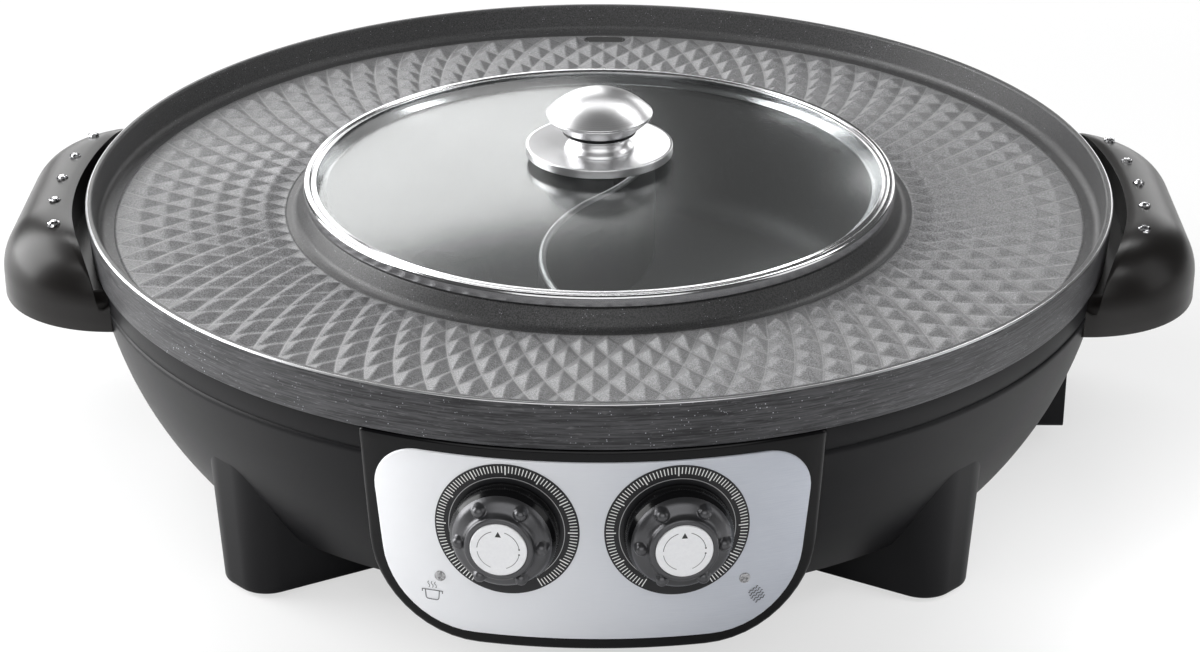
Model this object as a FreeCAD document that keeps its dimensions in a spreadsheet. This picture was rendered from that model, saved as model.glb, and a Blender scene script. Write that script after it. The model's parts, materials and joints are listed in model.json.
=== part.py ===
"""Electric hot pot: a lidded, divided pot cast into a round grill pan, on a heated base with two dials.

Millimetres. +Z is up, Z = 0 is the table, the Z axis is the pan's axis and the dials face -Y.
"""
import FreeCAD, Part
import math
import operator
import os
from types import SimpleNamespace

import Sketcher

Vector = FreeCAD.Vector
Rotation = FreeCAD.Rotation
Z_AXIS = Vector(0, 0, 1)
X_AXIS = Vector(1, 0, 0)

SIZES = {
    # grill pan with its pot
    "rim_radius": 210, "rim_height": 118, "rim_width": 3, "rim_round": 1.2, "band_height": 19,
    "band_taper": 1.5, "wall_taper": 1.8, "grill_depth": 12.5, "pan_wall": 3.5, "wall_round": 3.5,
    "collar_width": 4.8, "collar_flare": 3.5, "collar_height": 7.7, "collar_round": 1,
    "pot_radius": 117, "pot_taper": 7, "pot_depth": 60, "pot_corner": 14, "pan_gap": 0.3,
    "divider_drop": 10, "divider_bow": 22, "divider_thickness": 3,
    "drain_length": 17, "drain_width": 6, "drain_round": 2.8, "drain_inset": 11.5,
    # lid
    "lid_overhang": 0.2, "lid_gap": 0.3, "lid_rim_height": 4.8, "lid_sheet": 0.7, "lid_lip": 5.5,
    "lid_ledge": 9.5, "lid_play": 2, "lid_skirt_depth": 3.2, "lid_seam": 0.2, "glass_thickness": 3,
    "glass_rise": 10.6, "lid_bore": 4, "dish_radius": 30.3, "dish_rise": 2, "dish_sheet": 1,
    "neck_foot_radius": 14.3, "neck_height": 7.4, "neck_radius": 13.5, "ring_radius": 15.75,
    "ring_height": 1.5, "knob_radius": 21.9, "knob_under": 6.6, "knob_dome": 9.7, "knob_bore_depth": 8,
    "lid_screw_radius": 2.5, "lid_screw_head": 6, "washer_radius": 9, "washer_thickness": 1.5,
    # base shell
    "ring_inset": 3.4, "spigot_wall": 4.1, "ring_step": 0.3, "ring_skirt": 2, "bowl_height": 89,
    "bowl_inset": 3, "bowl_bow": 147, "bowl_bow_height": 108.8, "shell_wall": 2.5,
    "shell_gap": 0.2, "floor_height": 22, "opening_inset": 13, "ledge_drop": 10,
    "ledge_width": 11, "ledge_thickness": 3,
    "leg_azimuth": 45, "leg_count": 4, "leg_inset": 11, "leg_nose": 13.1, "leg_depth": 55,
    "leg_root_width": 28.7, "leg_flat": 0.1, "leg_draft": 3, "leg_top": 60, "leg_inner_top": 45, "leg_rise": 1,
    "leg_floor": 3, "pad_radius": 11, "pad_inset": 20, "pad_thickness": 2.5, "pad_play": 0.1,
    "cover_margin": 11.7, "cover_thickness": 2, "cover_screw_margin": 6, "boss_radius": 4,
    "boss_height": 12,
    # control fascia and its plate
    "fascia_proud": 1, "fascia_top": 98.5, "fascia_top_width": 84, "fascia_foot_width": 79,
    "fascia_foot": 16.5, "fascia_top_round": 2, "fascia_foot_round": 40, "fascia_depth": 58,
    "window_top": 85, "window_margin": 3, "window_round": 8, "window_foot_inset": 8,
    "fascia_screw_width": 35, "fascia_screw_inset": 43,
    "plate_thickness": 0.8, "plate_gap": 0.05, "plate_top": 94, "plate_foot": 21.5,
    "plate_top_width": 80, "plate_foot_width": 73.3, "plate_top_round": 16.5, "plate_foot_round": 33.3,
    # dials, knobs, thermostats and indicators
    "dial_azimuth": 8.43, "dial_height": 66, "scale_radius": 26.3, "scale_bore": 20.8,
    "scale_thickness": 0.4, "grip_radius": 19.6, "grip_draft": 0.3, "grip_skirt": 4,
    "grip_height": 14, "grip_bow": 17, "grip_top_radius": 11, "grip_gap": 0.6, "grip_wall": 2.4,
    "grip_cavity": 7, "grip_hub_radius": 5.5, "label_radius": 10.3, "label_thickness": 0.8,
    "label_recess": 0.5, "bump_radius": 2.4, "bump_place": 14.6, "bump_rise": 10.6, "bump_count": 6,
    "shaft_radius": 3, "shaft_clearance": 0.05, "shaft_reach": 9, "shaft_depth": 9,
    "bush_radius": 4.9, "bush_length": 6.5, "nut_radius": 7.5, "nut_thickness": 2.5,
    "shoulder_radius": 8, "shoulder_length": 2.8,
    "thermostat_width": 36, "thermostat_height": 24, "thermostat_depth": 18,
    "lens_azimuth": 15.3, "lens_height": 43.5, "lens_radius": 2.1, "lens_proud": 0.6,
    "lens_flange": 3.2, "lens_flange_thickness": 1, "lamp_radius": 2.6, "lamp_length": 16,
    "lamp_gap": 0.5, "part_clearance": 0.1,
    # handles
    "handle_depth": 90.3, "handle_out": 32.3, "handle_half_length": 77, "handle_round": 48,
    "handle_height": 34, "handle_top_drop": 3.5, "handle_edge": 24,
    "slot_width": 5.5, "slot_foot": 98, "seat_clearance": 0.15, "handle_wall": 4,
    "gem_radius": 2.5, "gem_inset": 19.6, "gem_spacing": 6.1, "gem_count": 5, "gem_proud": 0.6,
    "gem_table": 1.5, "gem_seat": 1.6, "gem_clearance": 0.05,
    "handle_screw_height": 84, "handle_screw_azimuth": 12, "handle_screw_radius": 2,
    "handle_screw_head": 2.9, "handle_screw_head_height": 2.4, "handle_screw_length": 12,
    # mains inlet
    "inlet_azimuth": 90, "inlet_half_width": 17, "inlet_inset": 10.5, "inlet_foot": 9,
    "inlet_top": 47, "inlet_depth": 30, "inlet_wall": 2, "inlet_round": 3, "socket_width": 27.4,
    "socket_height": 19.8, "socket_length": 22, "recess_width": 24, "recess_height": 15.8,
    "recess_depth": 15.5, "recess_round": 2, "contact_width": 2, "contact_height": 4, "contact_length": 14,
    "contact_spacing": 7, "contact_rise": 2,
    # heating
    "element_radius": 4, "element_gap": 0.3, "element_opening": 20, "grill_element_inset": 40.2,
    "pot_element_ring": 62, "element_drop": 7, "terminal_radius": 1.5, "terminal_length": 16,
    "terminal_hole": 3.5, "reflector_sheet": 1, "reflector_gap": 0.3, "well_gap": 11,
    "well_drop": 14.5, "well_round": 9, "clip_width": 10, "clip_wall": 3, "clip_clearance": 0.05,
    "clip_count": 3, "cutout_radius": 8, "cutout_height": 6, "cutout_place": 40,
    "terminal_block_width": 40, "terminal_block_depth": 16, "terminal_block_height": 12,
    "terminal_block_place": 92, "reflector_screw_inset": 3,
    # drip tray
    "tray_half_width": 24.5, "tray_depth": 39, "tray_height": 15, "tray_drop": 2.5, "tray_wall": 1.5,
    "tray_clearance": 0.3, "tray_panel_half_width": 30, "tray_panel_below": 4.5, "tray_panel_above": 3.5,
    "tray_panel_thickness": 3, "tray_panel_gap": 0.3, "guide_wall": 1.5,
    "drip_hole_length": 26, "drip_hole_width": 8, "drip_hole_round": 3,
    # small screws
    "screw_radius": 1.5, "screw_head": 2.8, "screw_head_height": 1.8, "screw_length": 8,
}

doc = FreeCAD.newDocument("HotPot")
sheet = doc.addObject("Spreadsheet::Sheet", "Sizes")
for row, (alias, number) in enumerate(SIZES.items(), 1):
    sheet.set(f"A{row}", alias)
    sheet.set(f"B{row}", str(number))
    sheet.setAlias(f"B{row}", alias)
doc.recompute()

NODES = []


# ---------------------------------------------------------------- sizes and their expressions

class Size:
    """A size of the sheet, or one worked out from such sizes: its value and the expression for it."""

    def __init__(self, value, text):
        self.value = value
        self.text = text

    def __add__(self, other):
        return combined(self, "+", other)

    def __radd__(self, other):
        return combined(other, "+", self)

    def __sub__(self, other):
        return combined(self, "-", other)

    def __rsub__(self, other):
        return combined(other, "-", self)

    def __mul__(self, other):
        return combined(self, "*", other)

    def __rmul__(self, other):
        return combined(other, "*", self)

    def __truediv__(self, other):
        return combined(self, "/", other)

    def __rtruediv__(self, other):
        return combined(other, "/", self)

    def __neg__(self):
        return combined(0, "-", self)


OPERATIONS = {"+": operator.add, "-": operator.sub, "*": operator.mul, "/": operator.truediv}


def as_size(number):
    """Makes a plain number a Size that names nothing of the sheet."""
    return number if isinstance(number, Size) else Size(float(number), f"({number})")


def combined(left, sign, right):
    """Works out left sign right, and writes its expression."""
    left, right = as_size(left), as_size(right)
    return Size(OPERATIONS[sign](left.value, right.value), f"({left.text} {sign} {right.text})")


def root(size):
    return Size(math.sqrt(size.value), f"sqrt({size.text})")


def square(size):
    return size * size


def tangent(degrees):
    return Size(math.tan(math.radians(degrees.value)), f"tan({degrees.text})")


d = SimpleNamespace(**{alias: Size(float(number), f"Sizes.{alias}") for alias, number in SIZES.items()})

# Sizes that follow from those of a neighbour.
grill_wall = d.rim_radius - d.rim_width - d.wall_taper
drain_radius = grill_wall - d.drain_inset
collar_radius = d.pot_radius + d.collar_width
lid_radius = collar_radius + d.lid_overhang
spigot_radius = grill_wall - d.pan_gap
ring_inner = spigot_radius - d.spigot_wall
ring_outer = d.rim_radius - d.ring_inset
bowl_radius = d.rim_radius - d.bowl_inset
ledge_height = d.bowl_height - d.ledge_drop
ledge_radius = bowl_radius - d.ledge_width
reflector_screw_ring = ledge_radius + d.reflector_screw_inset
leg_reach = bowl_radius - d.leg_inset
leg_root = leg_reach - d.leg_depth
leg_round = d.leg_nose - d.leg_flat
pad_place = leg_reach - d.pad_inset
floor_opening = leg_root - d.opening_inset
cover_radius = floor_opening + d.cover_margin
cover_screw_ring = floor_opening + d.cover_screw_margin
fascia_radius = bowl_radius + d.fascia_proud
fascia_back = fascia_radius - d.fascia_depth
fascia_screw_back = fascia_radius - d.fascia_screw_inset
handle_reach = d.rim_radius + d.handle_out
handle_root = handle_reach - d.handle_depth
gem_ring = handle_reach - d.gem_inset
inlet_reach = bowl_radius - d.inlet_inset
grill_element_ring = grill_wall - d.grill_element_inset
well_radius = d.pot_radius + d.well_gap


def tie(thing, path, size):
    """Ties the number that path names to the sheet, where its size comes from there."""
    if "Sizes." in as_size(size).text:
        thing.setExpression(path, size.text)


def bind(thing, name, size):
    """Gives a property its size, and ties it to the sheet."""
    setattr(thing, name, as_size(size).value)
    tie(thing, name, size)


def place(thing, x=0, y=0, z=0, axis=Z_AXIS, angle=0):
    """Puts an object at x, y, z, turned by angle about axis."""
    spots = {"x": as_size(x), "y": as_size(y), "z": as_size(z)}
    thing.Placement = FreeCAD.Placement(
        Vector(*(spot.value for spot in spots.values())), Rotation(axis, as_size(angle).value))
    for letter, spot in spots.items():
        tie(thing, f"Placement.Base.{letter}", spot)
    tie(thing, "Placement.Rotation.Angle", angle)
    return thing


def node(thing, label):
    """Registers a finished piece under its own name."""
    thing.Label = label
    NODES.append(thing)
    return thing


# ---------------------------------------------------------------- sketches

def constrain(sketch, size, *words):
    """Adds one constraint with a size, tied to the sheet."""
    index = sketch.addConstraint(Sketcher.Constraint(*words, as_size(size).value))
    tie(sketch, f"Constraints[{index}]", size)


def locate(sketch, geometry, position, x, y):
    """Fixes one point of a sketch at x, y from its origin."""
    constrain(sketch, x, "DistanceX", -1, 1, geometry, position)
    constrain(sketch, y, "DistanceY", -1, 1, geometry, position)


class Corner:
    """A corner of an outline: round rounds it off, and bow makes the side after it an arc.

    A positive bow turns left on its way to the next corner, and a negative one turns right.
    """

    def __init__(self, x, y, round=0, bow=0):
        self.x, self.y = as_size(x), as_size(y)
        self.round, self.bow = as_size(round), as_size(bow)
        self.point = Vector(self.x.value, self.y.value, 0)


def arc_between(sketch, start, end, centre, turns_left):
    """Draws an arc from start to end, and returns its number and the numbers of those two ends."""
    first, last = (start, end) if turns_left else (end, start)
    angles = [math.atan2(point.y - centre.y, point.x - centre.x) for point in (first, last)]
    circle = Part.Circle(centre, Z_AXIS, (start - centre).Length)
    arc = sketch.addGeometry(Part.ArcOfCircle(circle, *angles), False)
    return (arc, 1, 2) if turns_left else (arc, 2, 1)


def rounded_corner(sketch, before, corner, after):
    """Draws the arc of a round corner, and returns where it starts, where it ends and its numbers."""
    into = (corner.point - before.point).normalize()
    out = (after.point - corner.point).normalize()
    turn = math.atan2(into.x * out.y - into.y * out.x, into.dot(out))
    trim = corner.round.value * math.tan(abs(turn) / 2)
    start, end = corner.point - into * trim, corner.point + out * trim
    centre = start + Vector(-into.y, into.x, 0) * math.copysign(corner.round.value, turn)
    arc = arc_between(sketch, start, end, centre, turn > 0)
    constrain(sketch, corner.round, "Radius", arc[0])
    return start, end, arc


def bowed_side(sketch, start, end, bow):
    """Draws a side that is an arc, and returns its numbers."""
    chord = end - start
    left = Vector(-chord.y, chord.x, 0).normalize()
    reach = math.sqrt(bow.value ** 2 - (chord.Length / 2) ** 2)
    side = arc_between(sketch, start, end, (start + end) / 2 + left * math.copysign(reach, bow.value),
                       bow.value > 0)
    constrain(sketch, bow if bow.value > 0 else -bow, "Radius", side[0])
    return side


def outline(sketch, corners):
    """Draws a closed outline: straight or bowed sides between the corners, and arcs at round ones."""
    corners = [Corner(*corner) for corner in corners]
    rounds = [rounded_corner(sketch, corners[index - 1], corner, corners[(index + 1) % len(corners)])
              if corner.round.value else (corner.point, corner.point, None)
              for index, corner in enumerate(corners)]
    sides = []
    for index, corner in enumerate(corners):
        start, end = rounds[index][1], rounds[(index + 1) % len(corners)][0]
        if corner.bow.value:
            sides.append(bowed_side(sketch, start, end, corner.bow))
        else:
            sides.append((sketch.addGeometry(Part.LineSegment(start, end), False), 1, 2))
    for index, corner in enumerate(corners):
        before, after, arc = sides[index - 1], sides[index], rounds[index][2]
        if arc is None:
            sketch.addConstraint(
                Sketcher.Constraint("Coincident", before[0], before[2], after[0], after[1]))
            locate(sketch, after[0], after[1], corner.x, corner.y)
            continue
        sketch.addConstraint(Sketcher.Constraint("Tangent", before[0], before[2], arc[0], arc[1]))
        sketch.addConstraint(Sketcher.Constraint("Tangent", arc[0], arc[2], after[0], after[1]))
        mark = sketch.addGeometry(Part.Point(corner.point), True)
        sketch.addConstraint(Sketcher.Constraint("PointOnObject", mark, 1, before[0]))
        sketch.addConstraint(Sketcher.Constraint("PointOnObject", mark, 1, after[0]))
        locate(sketch, mark, 1, corner.x, corner.y)


def disc(sketch, radius, x, y):
    """Draws a circle about x, y."""
    centre = Vector(as_size(x).value, as_size(y).value, 0)
    circle = sketch.addGeometry(Part.Circle(centre, Z_AXIS, radius.value), False)
    constrain(sketch, radius, "Radius", circle)
    locate(sketch, circle, 3, x, y)


def rectangle(half_width, low, high, round=0):
    """The corners of a rectangle across the Y axis."""
    return [(half_width, low, round), (half_width, high, round),
            (-half_width, high, round), (-half_width, low, round)]


def across(*corners):
    """Adds the mirror image across the Y axis to the corners on its right, which run upwards."""
    return list(corners) + [(-x, y, *rest) for x, y, *rest in reversed(corners)]


# ---------------------------------------------------------------- bodies and solids

def plane(body, role):
    return next(datum for datum in body.Origin.OriginFeatures if datum.Role == role)


def new_body(name):
    return doc.addObject("PartDesign::Body", name)


def sketch_on(body, role, name, corners=(), discs=(), offset=0, turn=0):
    """Sketches on one of a body's planes, moved along its normal by offset and turned about it."""
    sketch = body.newObject("Sketcher::SketchObject", name)
    sketch.AttachmentSupport = [(plane(body, role), "")]
    sketch.MapMode = "FlatFace"
    sketch.AttachmentOffset = FreeCAD.Placement(
        Vector(0, 0, as_size(offset).value), Rotation(Z_AXIS, as_size(turn).value))
    tie(sketch, "AttachmentOffset.Base.z", offset)
    tie(sketch, "AttachmentOffset.Rotation.Angle", turn)
    if corners:
        outline(sketch, corners)
    for radius, x, y in discs:
        disc(sketch, radius, x, y)
    return sketch


def feature(body, kind, sketch, **settings):
    """Adds a feature made from a sketch to a body, with its sizes tied to the sheet."""
    made = body.newObject(f"PartDesign::{kind}", f"{sketch.Name}_{kind.lower()}")
    made.Profile = sketch
    for setting, value in settings.items():
        if isinstance(value, Size):
            bind(made, setting, value)
        else:
            setattr(made, setting, value)
    body.Tip = made
    return made


def turn_profile(body, kind, name, corners):
    """Turns a radius-and-height outline all the way round the Z axis, to add to a body or cut it."""
    sketch = sketch_on(body, "XZ_Plane", name, corners)
    return feature(body, kind, sketch, ReferenceAxis=(sketch, ["V_Axis"]), Angle=360)


def polar_copies(body, made, count):
    """Repeats a feature of a body evenly round the Z axis."""
    pattern = body.newObject("PartDesign::PolarPattern", f"{made.Name}_pattern")
    pattern.Originals = [made]
    pattern.Axis = (plane(body, "Z_Axis"), [""])
    pattern.Angle = 360
    pattern.Occurrences = int(count.value)
    tie(pattern, "Occurrences", count)
    body.Tip = pattern


def turned(name, *corners):
    """A solid turned about the Z axis, from an outline of radii and heights."""
    body = new_body(name)
    turn_profile(body, "Revolution", f"{name}_profile", corners)
    return body


def slab(name, corners, foot, height):
    """An outline seen from above, from foot upwards."""
    body = new_body(name)
    feature(body, "Pad", sketch_on(body, "XY_Plane", f"{name}_plan", corners, offset=foot), Length=height)
    return body


def front_slab(name, corners, start, end):
    """An outline seen from the front, between two distances in front of the Z axis."""
    body = new_body(name)
    sketch = sketch_on(body, "XZ_Plane", f"{name}_front", corners, offset=start)
    feature(body, "Pad", sketch, Length=end - start)
    return body


def cylinder(name, radius, foot, top, x=0, y=0):
    made = doc.addObject("Part::Cylinder", name)
    bind(made, "Radius", radius)
    bind(made, "Height", top - foot)
    return place(made, x, y, foot)


def front_cylinder(name, radius, start, end, x=0, z=0):
    """A cylinder that points at the viewer, between two distances in front of the Z axis."""
    made = doc.addObject("Part::Cylinder", name)
    bind(made, "Radius", radius)
    bind(made, "Height", end - start)
    return place(made, x, -start, z, X_AXIS, 90)


def box(name, half_width, near, far, foot, top):
    """A box across the Y axis, between two values of Y and two heights."""
    made = doc.addObject("Part::Box", name)
    bind(made, "Length", half_width * 2)
    bind(made, "Width", far - near)
    bind(made, "Height", top - foot)
    return place(made, -half_width, near, foot)


def sphere(name, radius, x, y, z):
    made = doc.addObject("Part::Sphere", name)
    bind(made, "Radius", radius)
    return place(made, x, y, z)


def cut(name, base, *tools):
    """Cuts each tool out of the base."""
    for index, tool in enumerate(tools):
        step = doc.addObject("Part::Cut", f"{name}_{index}")
        step.Base, step.Tool = base, tool
        base = step
    return base


def fuse(name, *pieces):
    made = doc.addObject("Part::MultiFuse", name)
    made.Shapes = list(pieces)
    return made


def common(name, *pieces):
    made = doc.addObject("Part::MultiCommon", name)
    made.Shapes = list(pieces)
    return made


def group(name, *pieces):
    """Separate solids that are one sub-part."""
    made = doc.addObject("Part::Compound", name)
    made.Links = list(pieces)
    return made


def swung(name, piece, azimuth):
    """A piece that faces -Y, swung about the Z axis towards +X."""
    return place(group(name, piece), angle=azimuth)


def copies(name, piece, count, first=0):
    """Copies of a piece spaced evenly round the Z axis."""
    steps = range(int(as_size(count).value))
    return [swung(f"{name}_{step}", piece, first + 360 / as_size(count) * step) for step in steps]


def ring_of(name, outer, inner, foot, top):
    return cut(name, cylinder(f"{name}_outer", outer, foot, top), cylinder(f"{name}_inner", inner, foot, top))


# ---------------------------------------------------------------- grill pan with its pot

band_foot = d.rim_height - d.band_height
grill_top = d.rim_height - d.grill_depth
grill_foot = grill_top - d.pan_wall
collar_top = grill_top + d.collar_height
pot_floor = d.rim_height - d.pot_depth
pot_foot = pot_floor - d.pan_wall
pot_floor_radius = d.pot_radius - d.pot_taper
well_floor = pot_foot - d.well_drop

pan_shell = turned(
    "pan_shell",
    (d.rim_radius - d.band_taper, band_foot),
    (d.rim_radius, d.rim_height, d.rim_round),
    (d.rim_radius - d.rim_width, d.rim_height, d.rim_round),
    (grill_wall, grill_top, d.wall_round),
    (collar_radius + d.collar_flare, grill_top, d.wall_round),
    (collar_radius, collar_top, d.collar_round),
    (d.pot_radius, collar_top, d.collar_round),
    (pot_floor_radius, pot_floor, d.pot_corner),
    (0, pot_floor),
    (0, pot_foot),
    (pot_floor_radius + d.pan_wall, pot_foot, d.pot_corner + d.pan_wall),
    (d.pot_radius + d.pan_wall, grill_foot, d.wall_round),
    (grill_wall, grill_foot),
    (grill_wall, band_foot),
)

# The divider is an S of two equal arcs that meet tangentially on the axis and end inside the pot's wall.
half_wall = d.pan_wall / 2
blade_length = d.pot_radius + half_wall
blade_bow = (square(blade_length) / 4 + square(d.divider_bow)) / (d.divider_bow * 2)
blade_cosine = (blade_bow - d.divider_bow) / blade_bow
blade_sine = blade_length / (blade_bow * 2)
half_blade = d.divider_thickness / 2
blade_x, blade_y = half_blade * blade_cosine, half_blade * blade_sine
divider_blade = slab(
    "divider_blade",
    [(blade_x, -blade_length + blade_y, 0, half_blade - blade_bow),
     (blade_x, -blade_y, 0, blade_bow + half_blade),
     (blade_x, blade_length + blade_y),
     (-blade_x, blade_length - blade_y, 0, half_blade - blade_bow),
     (-blade_x, blade_y, 0, blade_bow + half_blade),
     (-blade_x, -blade_length - blade_y)],
    pot_floor - half_wall, d.pot_depth - d.divider_drop + half_wall)
pot_core = turned(
    "pot_core",
    (0, pot_floor - half_wall),
    (pot_floor_radius + half_wall, pot_floor - half_wall, d.pot_corner + half_wall),
    (d.pot_radius + half_wall, collar_top),
    (0, collar_top),
)
divider = common("divider", divider_blade, pot_core)
drain_slot = slab(
    "drain_slot",
    rectangle(d.drain_length / 2, drain_radius - d.drain_width / 2, drain_radius + d.drain_width / 2,
              d.drain_round),
    grill_foot, d.pan_wall)
node(cut("pan_with_drain", fuse("pan_with_divider", pan_shell, divider), drain_slot), "grill_pan")


# ---------------------------------------------------------------- lid

lid_foot = collar_top + d.lid_gap
lid_top = lid_foot + d.lid_rim_height
lid_inside = lid_radius - d.lid_sheet
skirt_radius = d.pot_radius - d.lid_play
node(turned(
    "lid_rim_turned",
    (lid_radius, lid_foot, d.lid_sheet),
    (lid_radius, lid_top, d.lid_sheet * 2),
    (lid_radius - d.lid_lip, lid_top),
    (lid_radius - d.lid_lip, lid_top - d.lid_sheet),
    (lid_inside, lid_top - d.lid_sheet, d.lid_sheet),
    (lid_inside, lid_foot + d.lid_sheet),
    (lid_radius - d.lid_ledge, lid_foot + d.lid_sheet),
    (lid_radius - d.lid_ledge, lid_foot),
    (skirt_radius - d.lid_sheet, lid_foot),
    (skirt_radius - d.lid_sheet, lid_foot - d.lid_skirt_depth),
    (skirt_radius, lid_foot - d.lid_skirt_depth),
    (skirt_radius, lid_foot),
), "lid_rim")

glass_edge = lid_inside - d.lid_sheet
glass_foot = lid_foot + d.lid_sheet + d.lid_seam
glass_shoulder = lid_radius - d.lid_lip - d.lid_sheet
glass_bow = (square(glass_shoulder) + square(d.glass_rise)) / (d.glass_rise * 2)


def glass_top(radius):
    """The height of the glass's outer face."""
    crown = glass_foot + d.glass_thickness + d.glass_rise
    return crown - glass_bow + root(square(glass_bow) - square(radius))


node(turned(
    "lid_glass_turned",
    (glass_edge, glass_foot),
    (glass_edge, glass_foot + d.glass_thickness, d.lid_sheet),
    (glass_shoulder, glass_foot + d.glass_thickness, 0, glass_bow),
    (d.lid_bore, glass_top(d.lid_bore)),
    (d.lid_bore, glass_top(d.lid_bore) - d.glass_thickness, 0, -glass_bow),
    (glass_shoulder, glass_foot),
), "lid_glass")

screw_bore = d.lid_screw_radius + d.part_clearance
dish_foot = glass_top(d.lid_bore) + d.shaft_clearance
dish_inner = dish_foot + d.dish_sheet
dish_top = dish_inner + d.dish_rise
node(turned(
    "lid_dish_turned",
    (screw_bore, dish_foot),
    (d.neck_foot_radius + d.dish_sheet, dish_foot),
    (d.dish_radius - d.dish_sheet, dish_top - d.dish_sheet),
    (d.dish_radius - d.dish_sheet, glass_top(d.dish_radius) + d.lid_seam),
    (d.dish_radius, glass_top(d.dish_radius) + d.lid_seam),
    (d.dish_radius, dish_top, d.dish_sheet / 2),
    (d.neck_foot_radius, dish_inner),
    (screw_bore, dish_inner),
), "lid_knob_dish")

neck_top = dish_inner + d.neck_height
node(turned(
    "lid_neck_turned",
    (d.neck_foot_radius - d.dish_sheet, dish_inner),
    (d.neck_foot_radius, dish_inner),
    (d.neck_radius, neck_top),
    (screw_bore, neck_top),
    (screw_bore, neck_top - d.dish_sheet),
    (d.neck_radius - d.dish_sheet, neck_top - d.dish_sheet),
), "lid_knob_neck")

knob_foot = neck_top + d.ring_height
node(ring_of("lid_ring_turned", d.ring_radius, screw_bore, neck_top, knob_foot), "lid_neck_ring")

knob_wide = knob_foot + d.knob_under
knob_top = knob_wide + d.knob_dome
node(turned(
    "lid_knob_turned",
    (screw_bore, knob_foot),
    (d.ring_radius, knob_foot),
    (d.knob_radius, knob_wide, 0, (square(d.knob_radius) + square(d.knob_dome)) / (d.knob_dome * 2)),
    (0, knob_top),
    (0, knob_foot + d.knob_bore_depth),
    (screw_bore, knob_foot + d.knob_bore_depth),
), "lid_knob")

washer_top = glass_top(d.lid_bore) - d.glass_thickness - d.shaft_clearance
washer_foot = washer_top - d.washer_thickness
node(ring_of("lid_washer_turned", d.washer_radius, screw_bore, washer_foot, washer_top), "lid_washer")
node(fuse(
    "lid_screw_solid",
    cylinder("lid_screw_head", d.lid_screw_head, washer_foot - d.screw_head_height, washer_foot),
    cylinder("lid_screw_shank", d.lid_screw_radius, washer_foot,
             knob_foot + d.knob_bore_depth - d.part_clearance),
), "lid_screw")


# ---------------------------------------------------------------- base shell

bowl_centre = bowl_radius - root(square(d.bowl_bow) - square(d.bowl_height - d.bowl_bow_height))


def bowl_reach(height, inset=0):
    """The radius of the bowl's side at a height, inset being how far inside its outer face."""
    return bowl_centre + root(square(d.bowl_bow - inset) - square(height - d.bowl_bow_height))


def base_outline(gap, foot):
    """The outside of the bowl and of the ring on it, grown by gap, up to the ring's own side."""
    return [(0, foot), (bowl_reach(foot, -gap), foot, 0, d.bowl_bow + gap),
            (bowl_reach(d.bowl_height, -gap), d.bowl_height), (ring_outer + gap, d.bowl_height)]


ring_top = band_foot - d.pan_gap
node(turned(
    "upper_ring_turned",
    (ring_inner, d.bowl_height - d.ring_skirt),
    (bowl_reach(d.bowl_height - d.ring_skirt, d.shell_wall + d.ring_step), d.bowl_height - d.ring_skirt),
    (bowl_reach(d.bowl_height - d.ring_skirt, d.shell_wall + d.ring_step), d.bowl_height),
    (ring_outer, d.bowl_height),
    (ring_outer, ring_top),
    (spigot_radius, ring_top),
    (spigot_radius, grill_foot - d.pan_gap),
    (ring_inner, grill_foot - d.pan_gap),
), "upper_ring")

floor_top = d.floor_height + d.shell_wall
bowl = turned(
    "bowl",
    (0, d.floor_height),
    (bowl_reach(d.floor_height), d.floor_height, 0, d.bowl_bow),
    (bowl_radius, d.bowl_height),
    (0, d.bowl_height),
)
turn_profile(bowl, "Groove", "bowl_inside", [
    (0, d.floor_height),
    (floor_opening, d.floor_height),
    (floor_opening, floor_top),
    (bowl_reach(floor_top, d.shell_wall), floor_top, 0, d.bowl_bow - d.shell_wall),
    (bowl_reach(d.bowl_height, d.shell_wall), d.bowl_height),
    (0, d.bowl_height),
])
ledge_foot = ledge_height - d.ledge_thickness
tray_top = ledge_foot - d.tray_drop
tray_floor = tray_top - d.tray_height
tray_front = bowl_radius - d.tray_depth
half_shell = d.shell_wall / 2
turn_profile(bowl, "Revolution", "ledge", [
    (ledge_radius, ledge_foot),
    (bowl_reach(ledge_foot, half_shell), ledge_foot),
    (bowl_reach(ledge_height, half_shell), ledge_height),
    (ledge_radius, ledge_height),
])
polar_copies(bowl, feature(bowl, "Pad", sketch_on(
    bowl, "XY_Plane", "cover_boss", discs=[(d.boss_radius, 0, -cover_screw_ring)],
    offset=d.floor_height, turn=d.leg_azimuth), Length=d.boss_height), d.leg_count)
feature(bowl, "Pad", sketch_on(
    bowl, "XY_Plane", "fascia_boss",
    discs=[(d.boss_radius, side * d.fascia_screw_width, -fascia_screw_back) for side in (-1, 1)],
    offset=d.floor_height), Length=d.boss_height)

front_window = front_slab(
    "front_window",
    across((d.fascia_foot_width - d.window_margin, floor_top, d.fascia_foot_round - d.window_foot_inset),
           (d.fascia_top_width - d.window_margin, d.window_top, d.window_round)),
    fascia_back, fascia_radius + d.shell_wall)
inlet_window = swung("inlet_window", box(
    "inlet_window_box", d.inlet_half_width + d.part_clearance,
    -inlet_reach - d.shell_wall, d.inlet_depth - inlet_reach + d.part_clearance,
    d.floor_height, d.inlet_top + d.part_clearance), d.inlet_azimuth)
guide_half_width = d.tray_half_width + d.tray_clearance + d.guide_wall
guide_foot = tray_floor - d.tray_clearance - d.guide_wall
tray_window = box("tray_window", guide_half_width + d.part_clearance, tray_front, d.rim_radius,
                  guide_foot - d.part_clearance, tray_top + d.tray_clearance)
drip_corners = rectangle(d.drip_hole_length / 2, drain_radius - d.drip_hole_width / 2,
                         drain_radius + d.drip_hole_width / 2, d.drip_hole_round)
ledge_notch = slab("ledge_notch", drip_corners, ledge_foot, d.ledge_thickness)
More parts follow.
